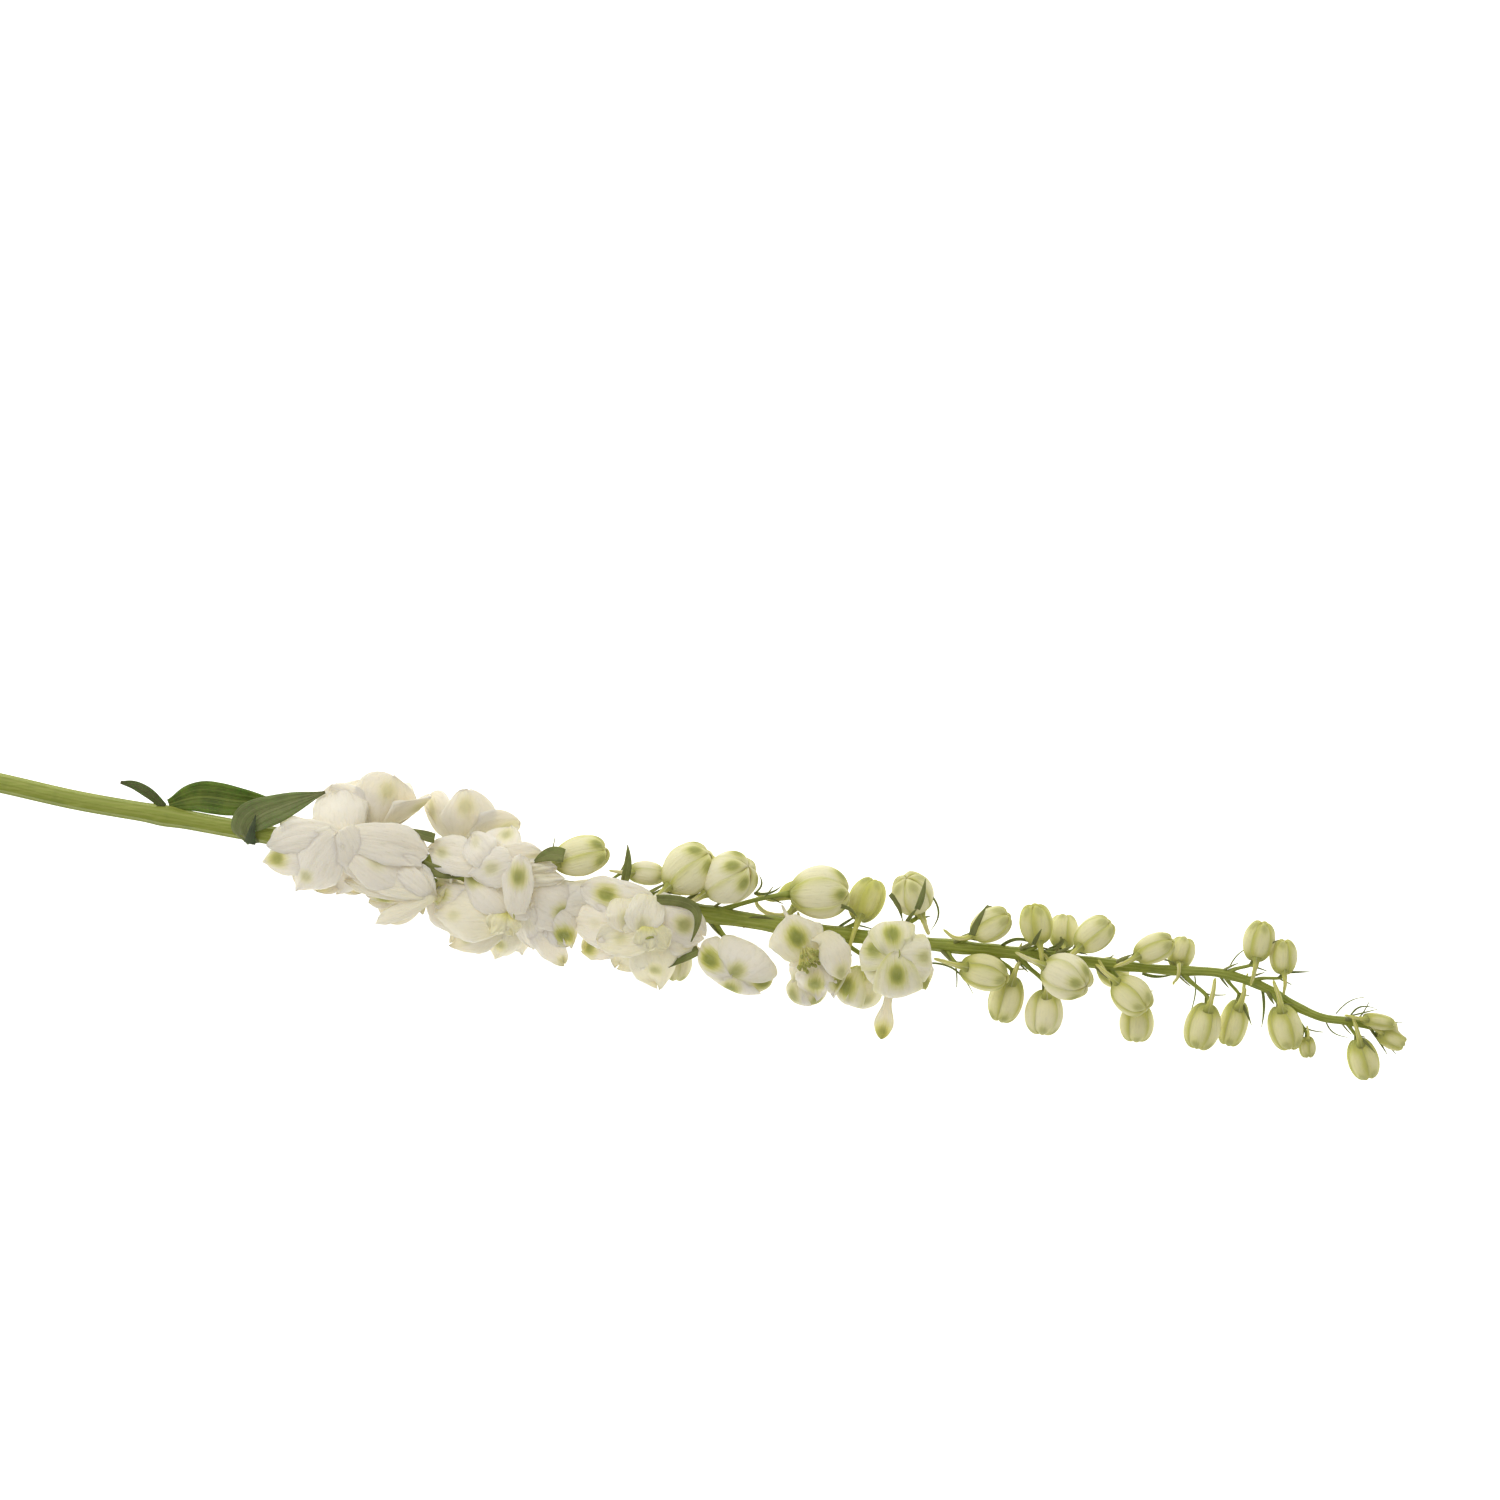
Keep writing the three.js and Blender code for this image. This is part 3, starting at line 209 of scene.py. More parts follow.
# Bracts that lie free among the flowers: where each starts, the point that it bows towards, its
# tip (along, sideways, height), and half width.
LOOSE_BRACTS = [
    [291.6, -28.1, 30, 300.6, -33.1, 32.5, 312.1, -31.3, 31.5, 2.4],
    [297.3, -19.4, 32, 293, -18.4, 33.5, 288.3, -15.8, 31, 1.9],
    [343.8, -25.6, 38, 338.7, -23.8, 39.5, 332.6, -28.1, 37.5, 2.8],
    [365, -34.9, 31, 366.8, -28.4, 33, 366.4, -21.6, 34, 1.6],
    [376.9, -40.7, 40, 396.4, -40.6, 42, 389, -56.0, 38, 2.1],
    [391.6, -59.4, 31, 386.6, -61.6, 32, 380.8, -65.5, 31, 1.9],
    [439.2, -43.2, 33, 445.6, -43.2, 35, 448.2, -47.5, 33, 0.8],
    [460, -39.2, 33, 463.3, -42.8, 34, 464.4, -48.6, 32, 0.9],
    [469.4, -44.3, 38, 471.4, -39.4, 40, 472.4, -33.6, 38.5, 1.15],
    [465.6, -49.9, 32, 467.2, -46.6, 36, 469.6, -43.9, 38, 0.75],
    [407, -50.4, 27.6, 413.5, -47, 28.2, 420.8, -49.6, 27.4, 1.5],
    [411.8, -38.9, 31, 415.4, -36, 34, 413.2, -32.2, 35, 0.35],
    [411.4, -39, 31, 417.4, -39.8, 33, 421.4, -36.2, 34, 0.45],
    [474.8, -39.6, 30, 479.5, -46.1, 30, 474.8, -52.2, 29, 0.35],
    [495.7, -43.6, 29, 494.2, -48.2, 32, 489.2, -52.2, 29, 1],
    [475.5, -64.4, 24, 484.9, -64.8, 24, 490.6, -76, 19, 0.35],
    [514.4, -52.2, 28, 513, -56.5, 28, 509.4, -58.7, 27, 0.8],
    [522.3, -55.4, 28, 521.6, -59, 28, 516.6, -59.4, 26, 0.5],
    [594.9, -73.4, 17.0, 596.3, -79.8, 18.0, 595.0, -88.1, 16.0, 0.50],
    [586.3, -77.4, 14.5, 589.1, -81.0, 17.5, 591.5, -87.4, 15.0, 0.65],
    [570.6, -69.5, 18.0, 571.6, -76.5, 19.0, 567.6, -86.1, 18.0, 0.20],
    [592.3, -61.7, 22.0, 594.9, -58.0, 27.2, 600.0, -56.0, 24.5, 0.50],
    [583.1, -66.3, 18.0, 585.5, -60.8, 20.0, 590.8, -58.5, 21.0, 0.20],
    [602.9, -68.0, 20.0, 607.3, -67.8, 21.0, 611.9, -67.8, 20.0, 0.40],
    [621.6, -83.1, 18.0, 625.8, -77.6, 19.0, 631.9, -77.1, 18.0, 0.18],
    [627.0, -83.6, 18.0, 629.6, -79.2, 19.0, 635.7, -81.1, 18.0, 0.30],
    [627.0, -83.8, 18.0, 632.2, -82.4, 19.5, 636.4, -81.4, 19.0, 0.25],
    [641.7, -86.8, 18.0, 643.2, -85.8, 18.5, 645.7, -86.3, 18.0, 0.18],
    [618.1, -85.4, 16.0, 619.6, -90.8, 17.0, 625.9, -91.6, 18.0, 0.22],
    [633.9, -87.8, 16.0, 637.5, -93.0, 17.0, 640.4, -97.9, 16.0, 0.45],
    [636.1, -88.3, 16.0, 640.3, -94.1, 16.5, 643.7, -97.9, 16.0, 0.40],
    [630.0, -91.4, 20.0, 631.9, -93.4, 24.2, 634.8, -96.7, 23.4, 0.50],
    [552.0, -61.6, 24.0, 556.7, -62.1, 25.5, 562.3, -64.3, 24.0, 0.55],
    [552.0, -68.6, 15.0, 556.6, -70.4, 17.0, 563.2, -69.1, 16.0, 0.60],
    [489.3, -53.9, 30.5, 490.9, -48.7, 34.0, 494.6, -43.5, 31.5, 1.30],
    [511.5, -57.1, 30.0, 512.2, -54.4, 34.5, 514.0, -51.7, 34.5, 0.80],
    [521.3, -54.7, 28.5, 522.1, -57.2, 28.0, 517.3, -58.8, 25.0, 0.35],
    [500.6, -58.3, 22.0, 507.5, -52.6, 26.5, 518.5, -62.1, 24.0, 0.60],
]

# The half-open globes that show best: how oval they are, the sepals' half width as an angle in
# radians and, for each sepal, its angle round the facing direction in degrees, its layer counted
# inward, the place of its spot and how strong it is.
GLOBES = {
    "half_open_02": (1.6, 0.86, [(-14, 0, 0.90, 0.8), (-84, 3, 0.62, 1.2), (-172, 2, 0.62, 1.1),
                                 (92, 1, 0.65, 1.3), (40, 4, 0.6, 0.5)]),
    "half_open_06": (0.97, 0.68, [(178, 1, 0.70, 1.2), (-118, 2, 0.70, 1.0), (-72, 3, 0.66, 0.45),
                                  (-6, 0, 0.73, 1.2), (80, 1, 0.61, 0.6), (128, 4, 0.6, 0.2),
                                  (36, 3, 0.50, 1.0)]),
    "half_open_04": (1.0, 0.82, [(48, 0, 0.45, 0.8), (-30, 1, 0.55, 0.9), (-100, 2, 0.6, 0.6),
                                 (120, 3, 0.6, 0.5), (178, 2, 0.6, 0.5)]),
    "half_open_05": (1.0, 0.82, [(30, 0, 0.44, 1.25), (-32, 1, 0.52, 0.5), (100, 2, 0.6, 0.6),
                                 (172, 3, 0.6, 0.5), (-106, 2, 0.6, 0.6)]),
}

# How green the sepals of single buds are; the others get greener towards the tip of the spike.
GREENS = {
    "bud_01": 0.85, "bud_03": 0.80, "bud_05": 0.68, "bud_06": 0.74, "bud_07": 1.12, "bud_09": 0.92,
    "bud_10": 0.92, "bud_11": 0.92, "bud_12": 1.06, "bud_13": 0.75, "bud_15": 0.70,
}

# Spurs that bend away from the usual line, and the green necks of nodding buds: points on the
# midline (along, sideways, height), and for a neck the radius at each.
SPURS = {
    "bud_06": [[427.0, -43.6, 22.6], [423.0, -47.2, 22.0], [416.6, -46.6, 22.6], [412.6, -43.6, 23.4],
               [412.4, -40.6, 24.6]],
    "bud_10": [[491.3, -53.9, 27.0], [487.4, -55.3, 26.2], [483.2, -55.0, 26.0],
               [479.4, -52.2, 25.5]],
}
NECKS = {
    "bud_06": [[427.4, -38.4, 24.4, 4.4], [424.0, -38.8, 24.4, 3.3], [420.8, -40.4, 24.2, 1.7],
               [417.2, -41.2, 24.0, 1.1], [412.0, -39.2, 23.6, 0.8]],
}

# Painted shade: dark green rolls put in the gaps between the folded petals in the middle of a
# flower, where there is only shade: start, middle and end of each, and its half width.
SHADE_SLITS = {
    "bloom_11": [[372.6, -54.9, 42.6, 374.8, -53.9, 43.2, 377.0, -54.2, 42.4, 0.55]],
    "bloom_09": [[326.0, -45.8, 40.4, 326.4, -46.9, 40.6, 326.2, -48.0, 39.8, 0.3]],
    "half_open_06": [[462.6, -58.0, 46.4, 463.0, -59.8, 46.9, 462.4, -61.4, 46.7, 0.28]],
}

# Leaves: midrib points, half widths on the near and the far side at even steps from foot to tip,
# fold in degrees, the way across.
LEAVES = {
    "leaf_small": {
        "rib": [[199.0, -8.3, 21.7], [194.5, -3.8, 24.0], [189.2, -0.6, 25.2], [184.0, 0.6, 25.6]],
        "near": [1.3, 1.7, 2.0, 1.8, 1.3, 0.5], "far": [1.3, 1.7, 2.0, 1.8, 1.3, 0.5],
        "fold": 12, "side": [0.4, 0.9, 0.1],
    },
    "leaf_broad": {
        "rib": [[200.6, -7.4, 20.6], [212, -4.6, 22.6], [226, -6.0, 24.4], [242, -7.2, 22.5]],
        "near": [1.6, 4.4, 5.9, 5.9, 4.0, 0.1], "far": [1.6, 4.6, 6.0, 5.7, 3.6, 0.1],
        "fold": 10, "side": [0, 1, 0.1],
    },
    "leaf_folded": {
        "rib": [[231.8, -21.2, 24.4], [230.2, -16.0, 27.4], [235.0, -11.0, 28.6],
                [245, -6.9, 28.2], [257.6, -2.9, 26.6]],
        "near": [2.2, 2.2, 4.6, 5.8, 4.0, 0.1], "far": [2.2, 6.0, 7.6, 5.4, 3.5, 0.1],
        "fold": 10, "side": [-0.8, 0.6, 0.1],
    },
}
# The turned-up lobe at the foot of the folded leaf: its midline and its half width.
LEAF_FLAP = [[230.6, -21.4, 27.6], [232.0, -16.0, 30.0], [233.3, -10.9, 30.4]]
FLAP_HALF = 2.1

UP = np.array([0.0, 0.0, 1.0])
WALL_NEAR = 8.0               # a petal starts to bend this far from what stops it
WALL_MIN = 0.75               # and comes no closer than this
TABLE_GAP = 0.3               # petals come no lower than this
SPUR_PLANE = 0.6              # spurs keep off a plane at this height
OVERLAP = 0.7                 # lean of the planes between neighbouring blooms
LEAF_NODE = 199.0             # the two lower leaves leave the stem here
FLOWERING = (255.0, 635.0)    # between these distances bracts get smaller
GREENING = (330.0, 630.0)     # and between these buds get greener
GREENER_FROM = 440.0          # half-open flowers beyond this distance are greener
OPENING = 0.6                 # a laid bloom that is less open than this shows long stamens
SPUR = 14.0                   # length of a spur
STALK = 0.85                  # radius of a stalk
STALK_POINTS = 15
LONG_STALKS = {"bud_06": 25.0}      # how far before the flower the stalk leaves the stem
LAID_COLUMNS, LAID_EXTRA_ROWS = 23, 16
GLOBE_COLUMNS, GLOBE_EXTRA_ROWS = 19, 6
BRACT_COLUMNS = 5
BRACT_THICKNESS, LOOSE_THICKNESS = 0.3, 0.35
PETAL_GREEN = 0.12            # how green the broad petals of open blooms are
BRACT_FINISH = 1              # a piece's second finish, for bracts and the leaf's flap
FLOOR_HALF, FLOOR_DROP = 6.0, 0.0002    # half width and depth of the floor, in metres
CUT_RING = 0.003              # the stem's cut end lies within this distance of its start, in metres
CAMERA_AT = [410.0, 12.2, 1297.0]
LAMP_AT = (-0.35, 0.75, 1.0)  # in metres


class SpikeSizes(PropertyGroup):
    """Sizes that may be changed before the pieces are made."""

    petal_thickness: FloatProperty(
        name="Petal thickness", description="Thickness in the middle of a petal",
        default=0.00034, min=0.0001, max=0.001, unit="LENGTH")
    leaf_thickness: FloatProperty(
        name="Leaf thickness", description="Thickness of the leaves",
        default=0.0004, min=0.0001, max=0.001, unit="LENGTH")
    ribs: IntProperty(
        name="Ribs", description="Ribs round the stem", default=9, min=4, max=16)
    rows: IntProperty(
        name="Petal rows", description="Rows of points from a petal's foot to its tip",
        default=26, min=8, max=60)


def colour(name, default):
    """A colour property with its name as its description."""
    return FloatVectorProperty(name=name, description=name, default=default, min=0, max=1,
                               subtype="COLOR", size=3)


class SpikeColours(PropertyGroup):
    """Colours of the plant."""

    petal: colour("White of the petals", (0.87, 0.815, 0.69))
    cream: colour("Pale green white of the buds", (0.84, 0.80, 0.45))
    bud: colour("Green of the buds", (0.56, 0.565, 0.125))
    spot: colour("Green spot on a petal", (0.24, 0.28, 0.045))
    heart: colour("Yellow green of the heart", (0.78, 0.75, 0.25))
    stem: colour("Green of the stem", (0.265, 0.31, 0.04))
    stem_light: colour("Light ribs of the stem", (0.50, 0.53, 0.14))
    bract: colour("Green of the bracts", (0.17, 0.18, 0.05))


class StageSettings(PropertyGroup):
    """Floor and light."""

    floor: colour("Floor", (0.93, 0.93, 0.93))
    glow: FloatProperty(
        name="Floor glow", description="Light that the table gives off by itself",
        default=0.9, min=0.0, max=5.0)
    sky: FloatProperty(
        name="Sky", description="Strength of the even light from all round",
        default=0.47, min=0.0, max=5.0)
    lamp: FloatProperty(
        name="Lamp", description="Strength of the soft lamp, in watts",
        default=7.0, min=0.0, max=500.0, subtype="POWER")


# ---- points and meshes -------------------------------------------------------------------

def share_of(x, span):
    """How far x lies between the two ends of a span, from 0 to 1."""
    return float(np.clip((x - span[0]) / (span[1] - span[0]), 0, 1))


def unit(v):
    """Vectors brought to length 1."""
    return v / np.maximum(np.linalg.norm(v, axis=-1, keepdims=True), 1e-9)


def mixed(a, b, t):
    """From a to b as t goes from 0 to 1."""
    return a + (b - a) * t


def bump(x, width):
    """1 where x is 0, falling off on both sides over the width as a bell curve."""
    return np.exp(-(x / width) ** 2)


def ellipse(t):
    """Half the height of a circle over t from -1 to 1, kept a little above 0 at its ends."""
    return np.sqrt(np.maximum(1 - t ** 2, 0.03))


def grid_of(u, columns):
    """The two coordinates of a grid: u along it, and even steps from -1 to 1 across."""
    return np.meshgrid(u, np.linspace(-1, 1, columns), indexing="ij")


def square_to(ahead, side):
    """The directions across and above a path that goes ahead, with across as near to side as it
    can be."""
    across = unit(side - ahead * (ahead @ side)[:, None])
    return across, np.cross(ahead, across)


def spread(path, across, top, sideways, lift):
    """A grid of points round a path: each goes sideways and is lifted from its place on it."""
    return path[:, None] + across[:, None] * sideways[..., None] + top[:, None] * lift[..., None]


def eased_step(t, low, high):
    """0 below low, 1 above high, and a smooth rise between."""
    s = np.clip((t - low) / (high - low), 0, 1)
    return s * s * (3 - 2 * s)


def frame_shift():
    """What is added to a table point to reach the frame: the middle of the stem's cut end is the
    mean of its ring of corners there."""
    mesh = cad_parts["stem"].data
    points = np.empty(len(mesh.vertices) * 3, np.float32)
    mesh.vertices.foreach_get("co", points)
    points = np.unique(np.round(points.reshape(-1, 3).astype(float), 6), axis=0)
    ring = points[points[:, 0] < points[:, 0].min() + CUT_RING]
    return ring.mean(axis=0) - AXIS[0, :3] * MM


SHIFT = frame_shift()


# What each point carries for the colours: how green the piece is, how strong its green spot is,
# how yellow its foot is, a number that differs from petal to petal, and the distance from the
# middle of the spot in millimetres.
VALUES = ("green", "spot", "heart", "seed", "reach")
FAR = 99.0                    # the reach where there is no spot


class Skin:
    """Points, faces and values of one piece, collected patch by patch."""

    def __init__(self):
        self.points = []
        self.faces = []
        self.caps = []
        self.uv = []
        self.values = []
        self.finish = []
        self.count = 0

    def add(self, points, faces, uv, values, reach, finish=0, caps=()):
        """One patch: its points, quads, place in the pattern, the four values for the colours,
        the points' distances from the middle of the green spot, and the polygons that end it."""
        self.points.append(points)
        self.faces.append(faces + self.count)
        self.uv.append(uv)
        number = len(points)
        self.values.append(np.column_stack([np.broadcast_to(np.asarray(values, float), (number, 4)),
                                            np.broadcast_to(reach, number)]))
        self.finish.append(np.full(len(faces), finish))
        self.caps += [(cap + self.count).tolist() for cap in caps]
        self.count += number

    def blade(self, middle, thick, values, uv=None, finish=0, reach=FAR):
        """A closed blade. The middle surface is a grid of points; both faces stand half the
        thickness off it along its normal, and a rim joins them."""
        rows, cols = middle.shape[:2]
        normal = unit(np.cross(np.gradient(middle, axis=0), np.gradient(middle, axis=1)))
        offset = normal * (np.broadcast_to(thick, (rows, cols)) / 2)[..., None]
        points = np.concatenate([(middle + offset).reshape(-1, 3), (middle - offset).reshape(-1, 3)])
        index = np.arange(rows * cols).reshape(rows, cols)
        low = index + rows * cols
        top = np.stack([index[:-1, :-1], index[1:, :-1], index[1:, 1:], index[:-1, 1:]], -1)
        under = np.stack([low[:-1, :-1], low[:-1, 1:], low[1:, 1:], low[1:, :-1]], -1)
        loop = np.concatenate([index[0, :-1], index[:-1, -1], index[-1, :0:-1], index[:0:-1, 0]])
        after = np.roll(loop, -1)
        rim = np.stack([loop, after, after + rows * cols, loop + rows * cols], -1)
        quads = np.concatenate([top.reshape(-1, 4), under.reshape(-1, 4), rim])
        if uv is None:
            u, v = np.meshgrid(np.linspace(0, 1, rows), np.linspace(0, 1, cols), indexing="ij")
            uv = np.stack([v, u], -1)
        reach = np.broadcast_to(reach, (rows, cols)).ravel()
        self.add(points, quads, np.tile(uv.reshape(-1, 2), (2, 1)), values, np.tile(reach, 2), finish)

    def tube(self, path, radius, sides, values, reach=FAR):
        """A closed tube. A ring of points stands round each point of the path, square to it, and
        the two end rings are capped; radius may be a number a ring or a number a point."""
        rings = len(path)
        ahead = unit(np.gradient(path, axis=0))
        side = np.empty_like(path)
        first = UP if abs(ahead[0, 2]) < 0.9 else np.array([1.0, 0, 0])
        for k in range(rings):
            first = unit(first - ahead[k] * (first @ ahead[k]))
            side[k] = first
        other = np.cross(ahead, side)
        turn = 2 * np.pi * np.arange(sides) / sides
        radius = np.asarray(radius, float)
        radius = np.broadcast_to(radius if radius.ndim != 1 else radius[:, None], (rings, sides))
        points = spread(path, side, other, radius * np.cos(turn), radius * np.sin(turn))
        index = np.arange(rings * sides).reshape(rings, sides)
        after = np.roll(index, -1, axis=1)
        quads = np.stack([index[:-1], after[:-1], after[1:], index[1:]], -1).reshape(-1, 4)
        round_uv = np.broadcast_to(np.arange(sides) / sides, (rings, sides))
        length = np.concatenate([[0], np.cumsum(np.linalg.norm(np.diff(path, axis=0), axis=1))])
        along_uv = np.broadcast_to((length / max(length[-1], 1e-6))[:, None], (rings, sides))
        self.add(points.reshape(-1, 3), quads, np.stack([round_uv, along_uv], -1).reshape(-1, 2),
                 values, reach, caps=[index[0][::-1], index[-1]])

    def piece(self, name, node, slot, materials):
        """The finished object, which rides on the body and stands for its node."""
        points = np.concatenate(self.points) * MM + SHIFT
        quads = np.concatenate(self.faces).tolist()
        mesh = bpy.data.meshes.new(name)
        mesh.from_pydata(points.tolist(), [], quads + self.caps)
        corners = np.empty(len(mesh.loops), np.int32)
        mesh.loops.foreach_get("vertex_index", corners)
        layer = mesh.uv_layers.new(name="pattern")
        layer.data.foreach_set("uv", np.concatenate(self.uv)[corners].astype(np.float32).ravel())
        values = np.concatenate(self.values)
        for k, label in enumerate(VALUES):
            attribute = mesh.attributes.new(label, "FLOAT", "POINT")
            attribute.data.foreach_set("value", values[:, k].astype(np.float32))
        finish = np.concatenate([*self.finish, np.zeros(len(self.caps))]).astype(np.int32)
        mesh.polygons.foreach_set("material_index", finish)
        mesh.polygons.foreach_set("use_smooth", np.ones(len(mesh.polygons), bool))
        for material in materials:
            mesh.materials.append(material)
        mesh.validate()
        mesh.update()
        piece = bpy.data.objects.new(name, mesh)
        bpy.context.scene.collection.objects.link(piece)
        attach(piece, "root")
        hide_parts(node)


# ---- the stem's axis and the flowers' places ---------------------------------------------

def stem_at(x):
    """Point, direction and radius of the stem at distances x: cubic Hermite curves between the
    table's rows, with slopes weighted by the rows' spacing."""
    x = np.asarray(x, float)
    t = np.clip(x, 0, AXIS[-1, 0])
    gaps = np.diff(AXIS[:, 0])
    rises = np.diff(AXIS[:, 1:], axis=0) / gaps[:, None]
    inner = (rises[:-1] * gaps[1:, None] + rises[1:] * gaps[:-1, None]) / (gaps[:-1] + gaps[1:])[:, None]
    slopes = np.concatenate([rises[:1], inner, rises[-1:]])
    i = np.clip(np.searchsorted(AXIS[:, 0], t, side="left") - 1, 0, len(gaps) - 1)
    h = gaps[i][..., None]
    s = ((t - AXIS[i, 0]) / gaps[i])[..., None]
    value = ((2 * s ** 3 - 3 * s ** 2 + 1) * AXIS[i, 1:] + (s ** 3 - 2 * s ** 2 + s) * h * slopes[i]
             + (3 * s ** 2 - 2 * s ** 3) * AXIS[i + 1, 1:] + (s ** 3 - s ** 2) * h * slopes[i + 1])
    slope = ((6 * s ** 2 - 6 * s) * (AXIS[i, 1:] - AXIS[i + 1, 1:]) / h
             + (3 * s ** 2 - 4 * s + 1) * slopes[i] + (3 * s ** 2 - 2 * s) * slopes[i + 1])
    point = np.concatenate([x[..., None], value[..., :2]], -1)
    along = unit(np.concatenate([np.ones_like(x)[..., None], slope[..., :2]], -1))
    return point, along, value[..., 2] / 2


class Flower:
    """One flower or bud: its place, its three directions and its sizes."""

    def __init__(self, row):
        self.x, aside, above, heading, rise, self.open, self.size, self.round = row
        point, along, _ = stem_at(self.x)
        across = unit(np.cross(UP, along))
        self.base = point + across * aside + UP * above
        h, v = math.radians(heading), math.radians(rise)
        self.face = np.array([math.cos(h) * math.cos(v), math.sin(h) * math.cos(v), math.sin(v)])
        self.back = unit(UP - self.face * self.face[2])
        self.side = np.cross(self.face, self.back)
        self.closed = self.open == 0
        self.stiff = self.open < 0.5
        self.kind = "bud" if self.closed else "half_open" if self.stiff else "bloom"
        self.under = above < -3
        self.wide = 1.0 if self.closed else self.round
        self.depth = self.size if self.closed else self.size * mixed(0.72, 0.3, self.open)
        if self.closed:
            self.girth = self.round / 2
        else:
            self.girth = self.size * (0.4 * self.round if self.stiff else 0.95)
        self.start = self.base + self.face * min(self.girth, self.depth * 0.5)
        self.end = self.base + self.face * max(self.depth - self.girth, self.depth * 0.5)
        self.centre = self.base + self.face * self.depth * 0.5
        self.random = np.random.default_rng(int(round(self.x * 10)))

    def around(self, phi):
        """The directions outward and sideways at an angle round the facing direction."""
        return (self.back * math.cos(phi) + self.side * math.sin(phi),
                self.side * math.cos(phi) - self.back * math.sin(phi))


def named_flowers():
    """All flowers, each kind numbered from the cut end to the tip."""
    flowers = [Flower(row) for row in FLOWERS]
    for kind in ("bud", "half_open", "bloom"):
        for number, flower in enumerate([f for f in flowers if f.kind == kind], 1):
            flower.name = f"{kind}_{number:02d}"
    return flowers


FLOWER_LIST = named_flowers()


def plane_wall(point, normal):
    """Distance above a plane, and its normal."""
    return lambda p: ((p - point) @ normal, np.broadcast_to(normal, p.shape))


def capsule_wall(a, b, radius):
    """Distance from a rod with round ends, and the way out of it."""
    def wall(p):
        rod = b - a
        t = np.clip((p - a) @ rod / max(rod @ rod, 1e-6), 0, 1)
        away = p - a - t[..., None] * rod
        return np.linalg.norm(away, axis=-1) - radius, unit(away)
    return wall


def stem_wall(p):
    """Distance from the stem, and the way out of it."""
    point, along, radius = stem_at(p[..., 0])
    away = p - point
    away = away - along * np.sum(away * along, -1, keepdims=True)
    return np.linalg.norm(away, axis=-1) - radius, unit(away)


def walls_of(flower, stiff_only=False):
    """What a flower's petals keep clear of: table, stem, stiff buds, and, unless only stiff things
    are asked for, the leaning planes halfway to the other blooms."""
    walls = [plane_wall(UP * (TABLE_GAP - WALL_MIN), UP), stem_wall]
    if flower.stiff:
        return walls
    for other in FLOWER_LIST:
        apart = np.linalg.norm(flower.centre - other.centre)
        if other is flower or apart > flower.girth + other.girth + 4:
            continue
        if other.stiff:
            walls.append(capsule_wall(other.start, other.end, other.girth))
            continue
        if stiff_only:
            continue
        share = flower.girth / (flower.girth + other.girth)
        lean = OVERLAP if flower.centre[2] > other.centre[2] else -OVERLAP
        away = unit(flower.centre - other.centre + UP * lean * apart)
        walls.append(plane_wall(mixed(flower.centre, other.centre, share), away))
    return walls


def eased(p, walls, near=3.0):
    """Points moved out of the walls: from the near distance on, the gap falls off exponentially
    towards the least one, so that a surface bends along a wall."""
    q = p.copy()
    for _ in range(2):
        for wall in walls:
            gap, normal = wall(q)
            kept = WALL_MIN + (near - WALL_MIN) * np.exp(np.minimum(gap - near, 0) / (near - WALL_MIN))
            q += normal * np.where(gap < near, kept - gap, 0)[..., None]
    return q


# ---- petals ------------------------------------------------------------------------------

class Petal:
    """How one petal leaves the flower and how it is shaped."""

    def __init__(self, **given):
        self.width_at = outline_round
        self.rise, self.cup, self.ruffle, self.crease, self.twist = 2.0, 2.2, 0.5, 0.0, 0.0
        self.root, self.room, self.wide, self.cols = 2.6, 0.8, 1.0, 15
        self.spot, self.heart, self.green, self.frill = 1.0, 0.0, 0.0, 0.0
        self.lobe, self.close, self.place = 0.0, None, 0.66
        self.__dict__.update(given)


def outline_round(u):
    """Share of the full width at u: full to beyond the middle, then a round end."""
    x = np.clip((u - 0.52) / 0.48, 0, 1)
    return np.maximum((1 - x ** 2.3) ** 0.55, 0.05)


def outline_bud(u):
    """Share of the full width at u: full almost to the tip."""
    return np.maximum((1 - np.clip((u - 0.85) / 0.15, 0, 1) ** 3) ** 0.5, 0.5)


def outline_loose(u):
    """Share of the full width at u: a thin claw that widens to a broad end."""
    return np.maximum(mixed(0.35, 1, eased_step(u, 0.5, 0.84)) * outline_round(u), 0.05)


def turn_of(petal, u):
    """Angle between the petal's midline and the facing direction, in radians. In a bud it changes
    fast at the foot and at the tip and slowly between, which makes the bud blunt."""
    share = u ** 0.9 if petal.close is None else 0.62 * u ** 0.66 + 0.38 * u ** 3.0
    return np.radians(mixed(petal.first, petal.last, share))


def closed_last(petal, u):
    """The last angle that brings the petal's tip to its closing distance from the axis, found by
    halving the range in which the sum of the sideways steps passes it."""
    low, high = -150.0, 0.0
    for _ in range(30):
        petal.last = (low + high) / 2
        sideways = np.sum(np.sin(turn_of(petal, u[:-1])) * np.diff(u)) * petal.wide * petal.length
        if petal.root + sideways > petal.close:
            high = petal.last
        else:
            low = petal.last
    return petal.last


